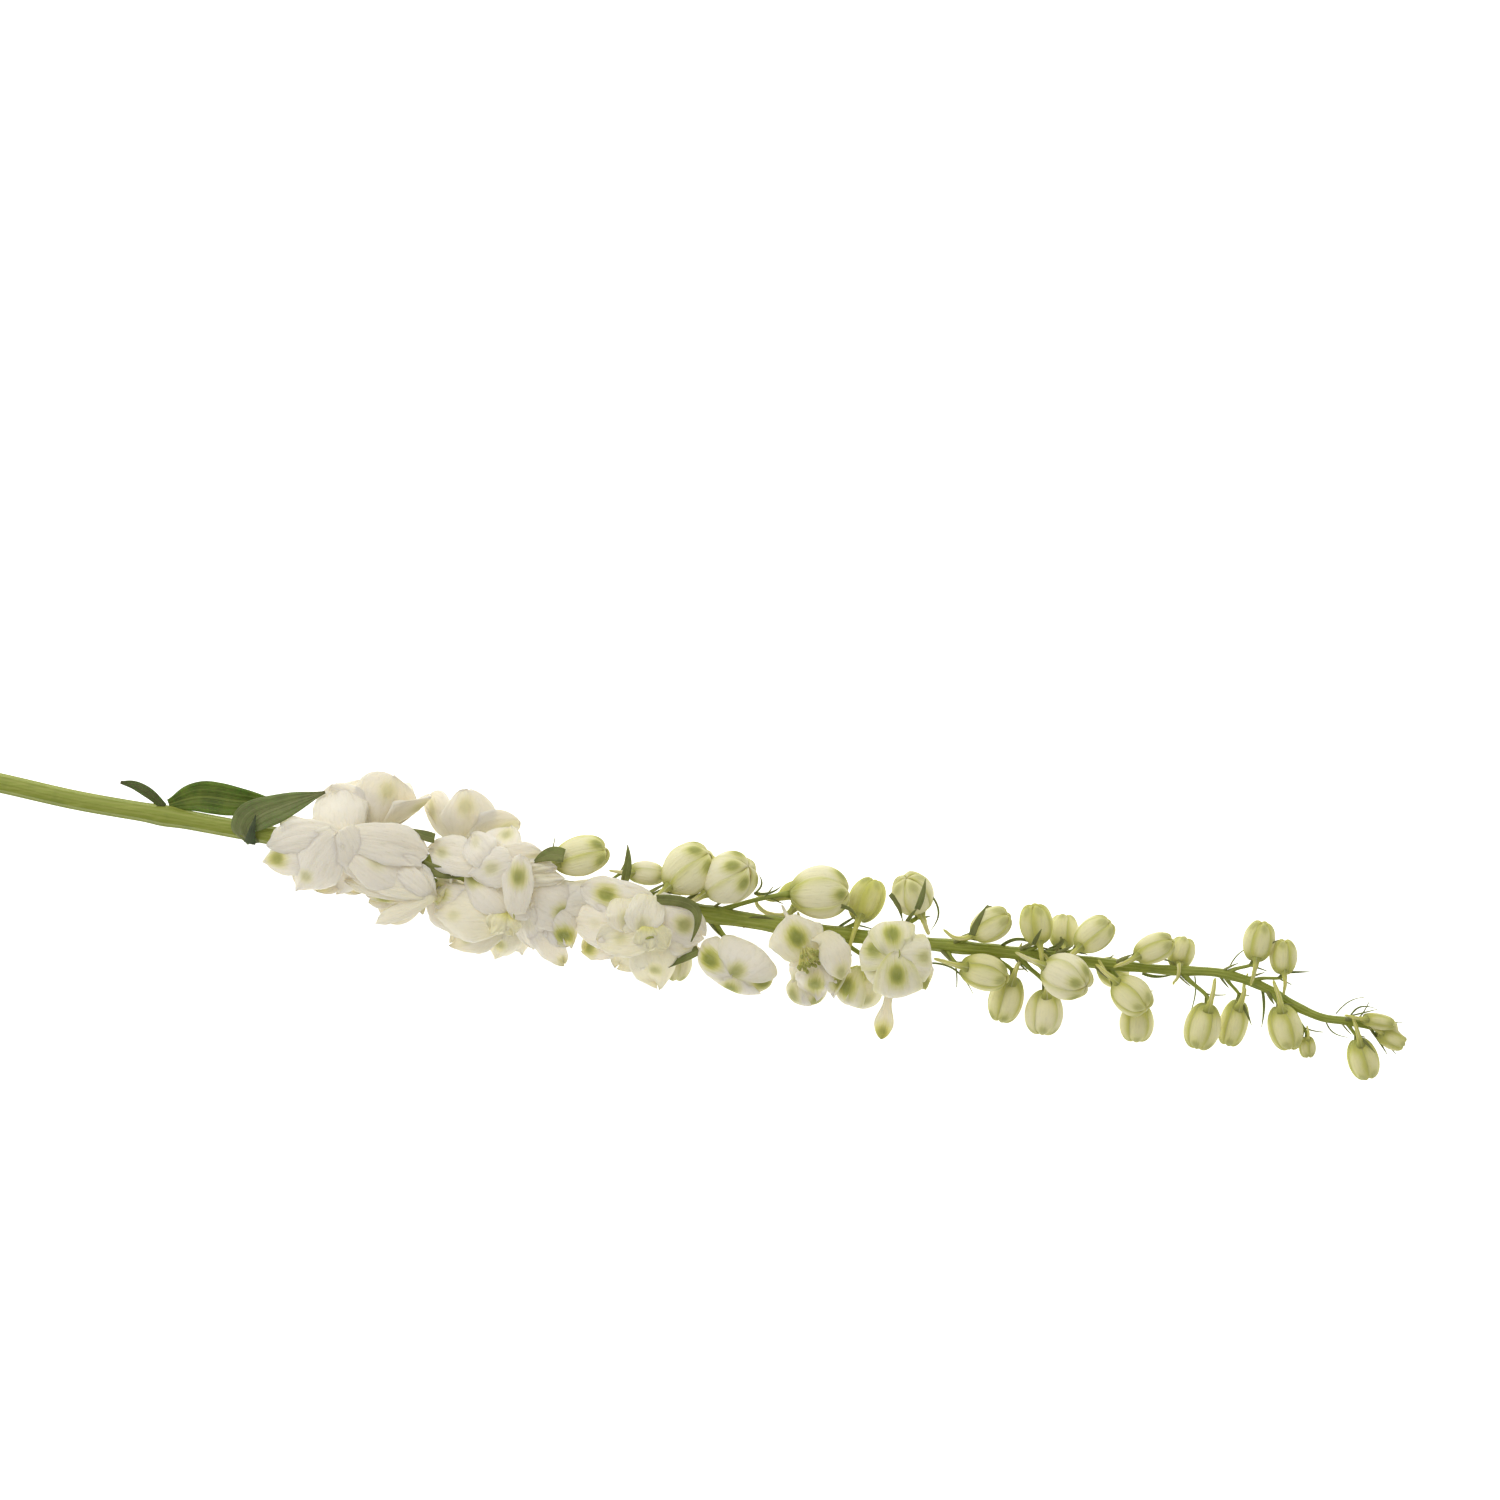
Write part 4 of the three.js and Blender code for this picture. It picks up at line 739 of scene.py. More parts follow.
def petal_surface(flower, petal, walls, rows):
    """Middle surface of a petal. Its midline leaves the base round the facing direction and turns
    from the first angle to the last; near a wall it turns to run along it. Across, the petal is
    an arc of a circle whose radius is the distance from the flower's axis times its cupping, and
    the margin waves. All points are then eased out of the walls."""
    out, lateral = flower.around(math.radians(petal.phi))
    p = flower.base + out * petal.root + flower.face * petal.rise
    radius = petal.root
    u = 1 - (1 - np.linspace(0, 1, rows)) ** 1.25
    if petal.close is not None:
        petal.last = closed_last(petal, u)
    points, ways, radii = [], [], []
    for k in range(rows):
        theta = turn_of(petal, u[k])
        way = flower.face * math.cos(theta) + out * math.sin(theta) * petal.wide
        step = (u[k + 1] - u[k] if k + 1 < rows else 0) * petal.length * np.linalg.norm(way)
        way = unit(way)
        for wall in walls:
            gap, normal = wall(p[None])
            inward = -(way @ normal[0])
            hold = 1 - eased_step(gap[0], WALL_MIN, WALL_NEAR)
            if inward > 0:
                way = way + normal[0] * inward * hold
        way = unit(way)
        points.append(p)
        ways.append(way)
        radii.append(radius)
        p = p + way * step
        if k + 1 < rows:
            radius += math.sin(theta) * petal.wide * petal.length * (u[k + 1] - u[k])
    points, ways, radii = np.array(points), np.array(ways), np.array(radii)
    lat, inner = square_to(ways, lateral)
    uu, vv = grid_of(u, petal.cols)
    half = np.minimum(petal.width * petal.width_at(u), petal.room * np.maximum(radii, 0.5))
    bend = np.maximum(radii * mixed(1, petal.cup, flower.open), 0.6 if petal.close else 1.8)
    angle = np.clip(vv * (half / bend)[:, None], -2.4, 2.4)
    phase = petal.phi * 0.7 + flower.x
    wave = petal.ruffle * (uu ** 2 * np.sin(4.4 * vv + phase)
                           + 0.55 * uu * vv ** 2 * np.sin(9 * vv + 6 * uu + 1.7 * phase))
    wave += petal.frill * uu ** 0.7 * (np.sin(7 * vv + 5 * uu + phase) * np.cos(8 * uu + 2.3 * phase)
                                       + 0.5 * np.sin(15 * vv - 9 * uu + phase))
    wave -= petal.crease * bump(vv, 0.16) * np.sin(np.pi * uu)
    wave += petal.twist * vv
    wave += petal.lobe * bend[:, None] * (0.2 * uu + 0.8 * uu ** 4) * (1 - np.cos(5 * angle))
    grid = spread(points, lat, inner, bend[:, None] * np.sin(angle),
                  bend[:, None] * (1 - np.cos(angle)) + wave)
    return eased(grid, walls), uu, vv


def pattern_place(across, along):
    """Place in the pattern, where across runs from -1 to 1 and along from 0 to 1."""
    return np.stack([(across + 1) / 2, along], -1)


def reach_of(grid, place, scale):
    """Distance of each point of a petal from the middle of its spot, which lies on the midline
    at the given share of the rows, divided by the spot's scale. Along the petal it counts for
    less, so that the spot is longer than it is wide."""
    middle = grid[:, grid.shape[1] // 2]
    row = min(int(place * (len(middle) - 1)), len(middle) - 2)
    away = grid - middle[row]
    along = away @ unit(middle[row + 1] - middle[row])
    return np.sqrt(np.maximum(np.sum(away ** 2, -1) - 0.45 * along ** 2, 0)) / scale


def add_petal(skin, flower, petal, walls, sizes):
    """A petal as a closed blade, thinner towards its margin."""
    grid, u, v = petal_surface(flower, petal, walls, sizes.rows)
    taper = 0.85 if flower.closed else 0.6
    thick = sizes.petal_thickness / MM * (1 - taper * v ** 4) * (1.25 - 0.65 * u ** 3)
    values = [petal.green, petal.spot, petal.heart, flower.random.random()]
    scale = mixed(0.55, 0.9, np.clip((flower.size - 10) / 12, 0, 1)) if flower.closed else 1.0
    skin.blade(grid, thick, values, pattern_place(v, u), reach=reach_of(grid, petal.place, scale))


def laid_surface(hub, row, walls, rows, cols, draw):
    """Middle surface of a laid petal. Its midline runs smoothly from the hub over the foot and an
    arched middle to the tip. Across, it is a shallow arc that droops at the margins; waves and
    crumples grow towards the tip, and a crease follows the midline."""
    foot, tip = np.array(row[:3]), np.array(row[3:6])
    half, arch, bow, _, _, _, crumple = row[6:]
    flat = unit((tip - foot) * (1, 1, 0))
    side = np.cross(UP, flat)
    middle = (foot + tip) / 2 + UP * arch + side * bow
    fine = 120
    steps = np.round(fine * (1 - (1 - np.linspace(0, 1, rows)) ** 1.3)).astype(int)
    path = smooth_path([hub, foot, middle, tip], fine + 1)[steps]
    w = steps / fine * 1.5 - 0.5
    ahead = unit(np.gradient(path, axis=0))
    across, top = square_to(ahead, side)
    ww, vv = grid_of(w, cols)
    width = half * mixed(0.2, 1, eased_step(w, -0.5, 0.55)) * outline_round(np.clip(w, 0, 1))
    grow = np.clip(ww + 0.2, 0, 1.2)
    a, b, c = draw.uniform(0, 6.28, 3)
    camber = draw.uniform(-0.34, -0.12)
    lift = camber * width[:, None] * vv ** 2 + 0.10 * half * grow ** 2 * np.sin(3.2 * vv + a)
    lift += 0.05 * half * grow * vv ** 2 * np.sin(8 * vv + 7 * ww + b)
    lift += crumple * grow * (np.sin(5 * vv + 4 * ww + c) * np.cos(7 * ww + a)
                              + 0.4 * np.sin(13 * vv - 8 * ww + b))
    lift -= 0.22 * bump(vv, 0.14) * np.sin(np.pi * np.clip(ww, 0, 1))
    lift += 0.35 * grow * vv ** 4 * np.sin(23 * ww + 4 * vv + a) * np.sin(5 * ww + b)
    edge = 1 + grow * np.abs(vv) * (0.06 * np.sin(9 * ww + 2 * vv + c) + 0.02 * np.sin(31 * ww + a))
    grid = spread(path, across, top, vv * width[:, None] * edge, lift)
    return eased(grid, walls), ww, vv


def add_laid(skin, flower, row, walls, sizes):
    """A laid petal as a closed blade, with its green spot where the row puts it."""
    hub = flower.base + flower.face * 2
    rows = sizes.rows + LAID_EXTRA_ROWS
    grid, w, v = laid_surface(hub, row, walls, rows, LAID_COLUMNS, flower.random)
    thick = sizes.petal_thickness / MM * (1 - 0.6 * v ** 4) * (1.2 - 0.5 * np.clip(w, 0, 1) ** 3)
    _, _, _, spot, place, heart, _ = row[6:]
    values = [PETAL_GREEN, spot, heart, flower.random.random()]
    share = 1 - (1 - (place + 0.5) / 1.5) ** (1 / 1.3)
    skin.blade(grid, thick, values, pattern_place(v, np.clip(w, 0, 1)),
               reach=reach_of(grid, share, 0.6 + 0.4 * spot))


def add_shade_slits(skin, flower):
    """Painted shade: thin dark rolls, half sunk between the petals, for the gaps in a flower's middle."""
    t = np.linspace(0, 1, 10)
    for row in SHADE_SLITS.get(flower.name, []):
        start, middle, end = np.array(row[:9]).reshape(3, 3)
        path = bezier(start, middle, middle, end, t)
        # Full green and a full spot at the rolls make them the dark spot green: painted shade.
        skin.tube(path, row[9] * np.sqrt(np.maximum(np.sin(np.pi * t), 0.02)), 8, [1, 1, 0, 0.5], reach=0.5)


def add_neck(skin, flower):
    """The thick green neck that joins a nodding bud to its stalk."""
    knots = np.array(NECKS.get(flower.name, []))
    if len(knots):
        path = smooth_path(knots[:, :3], 20)
        radius = np.interp(np.linspace(0, 1, 20), np.linspace(0, 1, len(knots)), knots[:, 3])
        skin.tube(path, radius, 18, [1.0, 0.75, 0, 0.4], reach=2.4)


def add_spur(skin, flower, green):
    """The spur: a tapering tube with slight wrinkles that runs back from the upper sepal and
    curls a little at its end."""
    length = min(SPUR, flower.size * 0.7) if flower.closed else SPUR
    start = (flower.base + flower.face * (flower.size * 0.12 if flower.closed else 1)
             + flower.back * (flower.girth * 0.6 if flower.closed else 1.8))
    t = np.linspace(0, 1, 16)
    path = (start - flower.face * (length * t)[:, None]
            + flower.back * (2.2 * np.sin(np.pi * np.minimum(t * 1.1, 1)))[:, None])
    clear = eased(path, [plane_wall(UP * SPUR_PLANE, UP), stem_wall])
    path = np.where((t > 0.2)[:, None], clear, path)
    scale = np.clip(flower.size / 15, 0.55, 1.1) if flower.closed else 1
    radius = np.interp(t, [0, 0.1, 0.35, 0.7, 0.93, 1], [1.9, 1.2, 0.85, 0.7, 0.5, 0.2]) * scale
    if flower.name in SPURS:
        path = smooth_path(np.array(SPURS[flower.name]), 16)
    turn = 2 * np.pi * np.arange(12) / 12
    wrinkle = 1 + 0.09 * np.sin(3 * turn[None] + 9 * t[:, None] + flower.x) + 0.05 * np.sin(30 * t)[:, None]
    skin.tube(path, radius[:, None] * wrinkle, 12, [green, 0, 0, 0.3])


def heart_of(skin, flower, count, reach):
    """Stamens: thin filaments that spread from the middle of the flower, each with a small
    swollen anther at its end."""
    for k in range(count):
        turn = 2.4 * k
        spread = 0.12 + 0.5 * math.sqrt((k + 0.5) / count)
        way = unit(flower.face + (flower.back * math.cos(turn) + flower.side * math.sin(turn)) * spread)
        length = reach * (0.8 + 0.35 * flower.random.random())
        t = np.linspace(0, 1, 7)[:, None]
        path = flower.base + flower.face * 3 + way * length * t - flower.face * (t ** 2) * spread
        skin.tube(path, 0.26, 6, [0.9, 0.8, 1, 0.5], reach=3.2)
        tip = np.linspace(-1, 1, 7)[:, None]
        path = path[-1] + way * 0.9 * tip
        skin.tube(path, 0.66 * ellipse(tip[:, 0]), 7, [1, 1, 1, 0.8], reach=1.3)


def outer_petals(flower):
    """The five broad sepals of a bloom, each with its green spot near the tip; on the underside
    of the spike the spots are pale."""
    first = mixed(82, 52, flower.open)
    last = mixed(-72, 96, flower.open ** 1.6)
    draw = flower.random
    petals = []
    for k in range(5):
        odd = math.sin(flower.x * 1.7 + k * 2.3)
        petals.append(Petal(
            phi=k * 72 + 2 * odd, first=first, last=last + 8 * odd,
            wide=flower.wide, length=flower.size * (1 + 0.05 * odd),
            width=flower.size * draw.uniform(0.5, 0.6), room=1.12, rise=2.0,
            ruffle=0.8 + 0.4 * odd, crease=0.25, twist=0.5, frill=0.12, green=PETAL_GREEN,
            spot=0.35 if flower.under else 1.0,
        ))
    return petals


def inner_petals(flower):
    """The inner petals of a double bloom, narrower and more crumpled towards the heart."""
    draw = flower.random
    # Petals in the ring, angle of the first, length, width, first and last angle, rise, frill.
    rings = [(5, 36, 0.66, 0.34, 20, mixed(20, 84, flower.open), 4.2, 0.35),
             (5, 5, 0.50, 0.25, 14, mixed(14, 70, flower.open), 4.7, 0.45),
             (3, 50, 0.34, 0.16, 8, mixed(10, 40, flower.open), 5.2, 0.4)]
    petals = []
    for ring, (count, start, length, width, first, last, rise, frill) in enumerate(rings):
        for k in range(count):
            petals.append(Petal(
                phi=k * 360 / count + start + draw.uniform(-9, 9), first=first,
                last=last + draw.uniform(-18, 14), wide=flower.wide,
                length=flower.size * (length + draw.uniform(-0.07, 0.07)),
                width=flower.size * width * draw.uniform(0.85, 1.15), root=2.4 - 0.4 * ring,
                rise=rise, cup=2.0, room=1.1, ruffle=0.7, frill=frill, crease=0.2, cols=11,
                spot=0.5 * (ring == 0), heart=0.5 + 0.2 * ring, green=0.05,
            ))
    return petals


def fit_bud(flower, root, close):
    """Length and widening of a bud's sepals, so that the closed bud has its length and width: the
    sums of the forward and sideways steps are scaled to both, in a few rounds because the last
    angle depends on them."""
    u = np.linspace(0, 1, 200)
    petal = Petal(first=82, root=root, close=close, wide=flower.wide, length=flower.size)
    for _ in range(6):
        petal.last = closed_last(petal, u)
        turn = turn_of(petal, u[:-1])
        petal.length = flower.size / np.max(np.cumsum(np.cos(turn) * np.diff(u)))
        sideways = np.max(np.cumsum(np.sin(turn) * np.diff(u)))
        petal.wide = (flower.girth - root) / (petal.length * sideways)
    return petal.length, petal.wide


def globe_surface(flower, turn, layer, oval, half, walls, rows, cols):
    """Middle surface of one of the five sepals that close over a half-open flower. It is a patch
    of an ellipsoid: its midline runs from the base over the side and past the top, its width is
    an arc across that, and the sepals lie in layers, each a little inside the one before."""
    phi = math.radians(turn)
    reach = flower.depth / 2
    out, lat = flower.around(phi)
    u = 1 - (1 - np.linspace(0, 1, rows)) ** 1.2
    uu, vv = grid_of(u, cols)
    polar = np.radians(mixed(158, 4 * layer - 9, u))
    middle = np.sin(polar)[:, None] * out + np.cos(polar)[:, None] * flower.face
    half = half * mixed(0.3, 1, eased_step(u, 0.0, 0.5)) * outline_round(u)
    angle = vv * half[:, None]
    way = middle[:, None] * np.cos(angle)[..., None] + lat * np.sin(angle)[..., None]
    size = 1 - 0.04 * layer - 0.12 * eased_step(uu, 0.82, 1.0) + 0.02 * vv ** 4
    size = size + 0.014 * np.sin(5 * vv + 6 * uu + phi) - 0.016 * bump(vv, 0.15)
    size = size + 0.02 * uu * vv ** 2 * np.sin(9 * uu + 3 * vv + 2 * phi)
    way = way * size[..., None]
    grid = (flower.base + flower.face * reach
            + (way @ flower.back * flower.girth)[..., None] * flower.back
            + (way @ flower.side * flower.girth * oval)[..., None] * flower.side
            + (way @ flower.face * reach)[..., None] * flower.face)
    return eased(grid, walls), uu, vv


def add_globe(skin, flower, walls, sizes):
    """The five sepals of a half-open flower as closed blades."""
    draw = flower.random
    evenly = [(72 * k + 30 * math.sin(flower.x), (0, 2, 4, 1, 3)[k], draw.uniform(0.6, 0.72), 1.0)
              for k in range(5)]
    oval, half, sepals = GLOBES.get(flower.name, (1.0, 0.82, evenly))
    green = 0.32 if flower.x < GREENER_FROM else 0.55
    for turn, layer, place, spot in sepals:
        grid, u, v = globe_surface(flower, turn, layer, oval, half, walls,
                                   sizes.rows + GLOBE_EXTRA_ROWS, GLOBE_COLUMNS)
        thick = sizes.petal_thickness / MM * (1 - 0.5 * v ** 4)
        skin.blade(grid, thick, [green, spot, 0, draw.random()], pattern_place(v, u),
                   reach=reach_of(grid, place, 0.6 + 0.4 * spot))


def bud_sepals(flower, green):
    """The five sepals of a bud, which overlap like tiles and close at the blunt, lobed tip."""
    root = min(1.6, flower.girth * 0.4)
    length, wide = fit_bud(flower, root, 0.35)
    start = 60 * flower.random.random()
    return [Petal(
        phi=start + k * 72, first=82, last=-75, wide=wide, length=length,
        width=99, room=0.80, root=root, rise=0.0, cup=1.0, ruffle=0.0,
        crease=0.08, twist=0.016 * flower.round, lobe=0.075, green=green, place=0.70,
        spot=float(mixed(0.6, 1.0, np.clip((flower.size - 16) / 4, 0, 1))),
        width_at=outline_bud, cols=13, close=0.35,
    ) for k in range(5)]


def flower_skin(flower, sizes):
    """All petals, the spur and the receptacle of one flower."""
    skin = Skin()
    walls = walls_of(flower)
    if flower.closed:
        green = GREENS.get(flower.name, mixed(0.62, 1.04, share_of(flower.x, GREENING)))
    else:
        green = 0.5 if flower.stiff else 0.25
    t = np.linspace(0, 1, 7)[:, None]
    if flower.closed:
        for petal in bud_sepals(flower, green):
            add_petal(skin, flower, petal, walls, sizes)
        foot = np.interp(t[:, 0], [0, 0.3, 1], [0.9, 1.5, 1.7]) * min(1, flower.girth / 4)
        skin.tube(flower.base + flower.face * (-0.3 + 1.6 * t), foot, 12, [1.0, 0, 0, 0.1])
        add_spur(skin, flower, green)
        add_neck(skin, flower)
        return skin
    for row in LAID.get(flower.name, []):
        add_laid(skin, flower, row, walls_of(flower, stiff_only=True), sizes)
    if flower.stiff:
        add_globe(skin, flower, walls, sizes)
    elif flower.name not in LAID:
        for petal in outer_petals(flower) + inner_petals(flower):
            add_petal(skin, flower, petal, walls, sizes)
        heart_of(skin, flower, 16, 4.2)
    elif flower.open < OPENING:
        heart_of(skin, flower, 30, 10.0)
    add_shade_slits(skin, flower)
    if abs(flower.x - LOOSE_PETAL_AT) < 0.01:
        add_petal(skin, flower, Petal(
            phi=-20, first=98, last=110, length=28, width=4.4, root=1.2, rise=1.2, cup=2.4,
            room=2, ruffle=0.3, cols=9, green=0.4, place=0.9, width_at=outline_loose), walls, sizes)
    top = 4.4 if not flower.stiff else 2.0
    column = np.interp(t[:, 0], [0, 0.35, 1], [1.4, 2.3, 2.0])
    skin.tube(flower.base + flower.face * (-0.3 + (top + 0.3) * t), column, 14, [0.6, 0, 0.6, 0.1])
    add_spur(skin, flower, green)
    return skin


# ---- stem, stalks and bracts -------------------------------------------------------------

def bezier(a, b, c, d, t):
    """A cubic curve from a to d, drawn towards b and c."""
    t = t[:, None]
    return (1 - t) ** 3 * a + 3 * (1 - t) ** 2 * t * b + 3 * (1 - t) * t ** 2 * c + t ** 3 * d


def stalk_of(flower):
    """The stalk's path from inside the stem to the flower's base, its foot and its way out."""
    point, _, _ = stem_at(flower.x)
    reach = np.linalg.norm(flower.base - point)
    back = LONG_STALKS.get(flower.name, np.clip(reach * 0.85, 1.2, 12))
    foot, along, radius = stem_at(flower.x - back)
    end = flower.base - flower.face * 0.3
    away = flower.base - foot
    away = unit(away - along * (away @ along))
    start = foot + away * radius * 0.4
    reach = np.linalg.norm(end - start)
    rise = 0.12 if flower.name in LONG_STALKS else 0.35
    lead = start + away * reach * rise + along * reach * 0.2
    arrive = eased((end - flower.face * reach * 0.3)[None], [stem_wall])[0]
    path = bezier(start, lead, arrive, end, np.linspace(0, 1, STALK_POINTS))
    return path, foot, along, away, radius


def blade_along(path, flat, width, curl):
    """A narrow leaf along a path: across, it spreads along flat by its width and lifts at its
    margins by curl."""
    v = np.linspace(-1, 1, BRACT_COLUMNS)
    across, top = square_to(unit(np.gradient(path, axis=0)), flat)
    return spread(path, across, top, width[:, None] * v, curl * width[:, None] * v ** 2)


def add_bract(skin, root, way, flat, bow, length, width, shade):
    """A bract: its midline starts at the root along way and bows to one side as it goes."""
    t = np.linspace(0, 1, 14)
    path = root + way * (length * t)[:, None] + bow * (length * t ** 2)[:, None]
    profile = width * np.maximum(np.sin(np.pi * (0.12 + 0.88 * t) ** 0.7), 0.04)
    skin.blade(blade_along(path, flat, profile, 0.35), BRACT_THICKNESS, shade, finish=BRACT_FINISH)


def add_loose_bracts(skin):
    """The bracts that lie free among the flowers, on curves that bow and end in a point."""
    for row in LOOSE_BRACTS:
        start, bow, tip = np.array(row[:9]).reshape(3, 3)
        t = np.linspace(0, 1, 20)
        path = bezier(start, mixed(start, bow, 0.75), mixed(tip, bow, 0.75), tip, t)
        profile = row[9] * np.maximum(np.sin(np.pi * (0.3 + 0.7 * t) ** 0.9), 0.04) ** 0.8
        flat = np.cross(UP, unit(tip - start)) + UP * 0.35
        skin.blade(blade_along(path, flat, profile, 0.3), LOOSE_THICKNESS, [0.1, 0, 0, 0.3],
                   finish=BRACT_FINISH)


def add_stalk(skin, flower, odd):
    """A flower's stalk, thicker at both ends, with the bract at its foot and a pair of bracteoles
    below the flower; odd makes each differ a little."""
    path, foot, along, away, stem_radius = stalk_of(flower)
    thin = np.clip(flower.girth / 7, 0.6, 1)
    profile = np.interp(np.linspace(0, 1, STALK_POINTS), [0, 0.12, 0.35, 0.8, 0.93, 1],
                        [1.9, 1.35, 1.0, 1.0, 1.35, 1.7])
    skin.tube(path, STALK * thin * profile, 12, [0.6, 0, 0, 0.2])
    share = share_of(flower.x, FLOWERING)
    flat = unit(np.cross(along, away))
    root = foot - along * 2.5 + away * stem_radius * 0.7
    way = unit(away * 0.8 + along * 0.75)
    add_bract(skin, root, way, flat, -away * 0.18 + flat * 0.1 * odd,
              mixed(17, 6, share), mixed(1.9, 0.75, share), [0.2, 0, 0, 0.3])
    short = 0.55 if flower.name in LAID else 1.0
    ahead = unit(path[11] - path[9])
    for hand, knot in ((-1, path[9]), (1, path[10])):
        aside = unit(np.cross(ahead, flower.back)) * hand
        way = unit(ahead * 0.8 + aside * 0.55)
        add_bract(skin, knot, way, flower.back, aside * 0.12 * (1 + odd) - ahead * 0.05,
                  mixed(9.0, 5.5, share) * (1 + 0.2 * odd) * short, mixed(1.0, 0.65, share),
                  [0.15, 0, 0, 0.4])


def stem_skin(sizes):
    """The ribbed stem from the cut to the tip, with the loose bracts and all stalks. Its section
    is a circle with rounded ribs; it swells where a stalk leaves."""
    skin = Skin()
    x = np.linspace(AXIS[0, 0], AXIS[-1, 0], 560)
    point, _, radius = stem_at(x)
    swell = np.zeros_like(x)
    for flower in FLOWER_LIST:
        foot = stalk_of(flower)[1][0]
        swell = np.maximum(swell, 0.16 * bump(x - foot - 1, 3.5))
    swell = np.maximum(swell, 0.14 * bump(x - LEAF_NODE, 5))
    sides = 54
    turn = 2 * np.pi * np.arange(sides) / sides
    rib = 0.045 * np.cos(sizes.ribs * turn[None] + 0.004 * x[:, None])
    rib = rib + 0.018 * np.cos((2 * sizes.ribs + 1) * turn[None] + 1.1)
    rib = rib + 0.012 * np.sin(3 * turn[None] + 0.03 * x[:, None])
    ring = radius[:, None] * (1 + swell[:, None] + rib)
    skin.tube(point, ring, sides, [0, 0, 0, 0.5])
    add_loose_bracts(skin)
    for number, flower in enumerate(FLOWER_LIST):
        add_stalk(skin, flower, math.sin(2.7 * number))
    return skin


# ---- leaves ------------------------------------------------------------------------------

def smooth_path(knots, count):
    """Points evenly spread along a smooth curve through the knots (Catmull-Rom)."""
    knots = np.array(knots, float)
    padded = np.concatenate([[2 * knots[0] - knots[1]], knots, [2 * knots[-1] - knots[-2]]])
    t = np.linspace(0, len(knots) - 1, count)
    i = np.clip(t.astype(int), 0, len(knots) - 2)
    s = (t - i)[:, None]
    a, b, c, d = padded[i], padded[i + 1], padded[i + 2], padded[i + 3]
    return 0.5 * (2 * b + (c - a) * s + (2 * a - 5 * b + 4 * c - d) * s ** 2
                  + (3 * b - a - 3 * c + d) * s ** 3)


def smooth_values(u, steps, values):
    """Values between given steps, eased a little so that no corner shows."""
    rough = np.interp(u, steps, values)
    padded = np.pad(rough, 3, mode="edge")
    return np.mean([padded[k:k + len(rough)] for k in range(7)], axis=0)


def leaf_surface(leaf, rows, cols):
    """Middle surface of a leaf: from its midrib both halves lift by the fold, with pressed-in
    veins that run along the leaf and a slightly waved margin."""
    rib = smooth_path(leaf["rib"], rows)
    u = np.linspace(0, 1, rows)
    side, top = square_to(unit(np.gradient(rib, axis=0)), np.array(leaf["side"], float))
    steps = np.linspace(0, 1, len(leaf["near"]))
    near, far = [smooth_values(u, steps, leaf[key]) for key in ("near", "far")]
    uu, vv = grid_of(u, cols)
    half = np.where(vv < 0, near[:, None], far[:, None])
    broad = max(leaf["far"])
    lift = (np.abs(vv) * half * math.sin(math.radians(leaf["fold"]))
            + 0.05 * broad * vv ** 2 * np.sin(11 * uu + 2 * vv)
            + 0.02 * broad * np.cos(5 * np.pi * vv))
    return spread(rib, side, top, vv * half, lift), uu, vv


def leaf_skin(leaf, sizes):
    """A leaf as one thin closed blade."""
    skin = Skin()
    grid, u, v = leaf_surface(leaf, 46, 25)
    thick = sizes.leaf_thickness / MM * (1.3 - 0.7 * np.abs(v))
    skin.blade(grid, thick, [0, 0, 0, 0.5], pattern_place(v, u))
    if leaf is LEAVES["leaf_folded"]:
        flap = smooth_path(LEAF_FLAP, 20)
        width = FLAP_HALF * np.linspace(1, 0.04, 20)
        skin.blade(blade_along(flap, np.array([1.0, 0.1, 0.2]), width, 0.2), LOOSE_THICKNESS,
                   [0, 0, 0, 0.5], finish=BRACT_FINISH)
    return skin


# ---- materials ---------------------------------------------------------------------------

class Value:
    """One number socket; + - * and ** on it add Math nodes."""

    def __init__(self, shade, socket):
        self.shade = shade
        self.socket = socket

    def _math(self, operation, a, b):
        return self.shade.node("Math", {"operation": operation}, {0: a, 1: b})

    def __add__(self, other):
        return self._math("ADD", self, other)

    def __radd__(self, other):
        return self._math("ADD", other, self)

    def __sub__(self, other):
        return self._math("SUBTRACT", self, other)

    def __rsub__(self, other):
        return self._math("SUBTRACT", other, self)

    def __mul__(self, other):
        return self._math("MULTIPLY", self, other)

    def __pow__(self, other):
        return self._math("POWER", self, other)


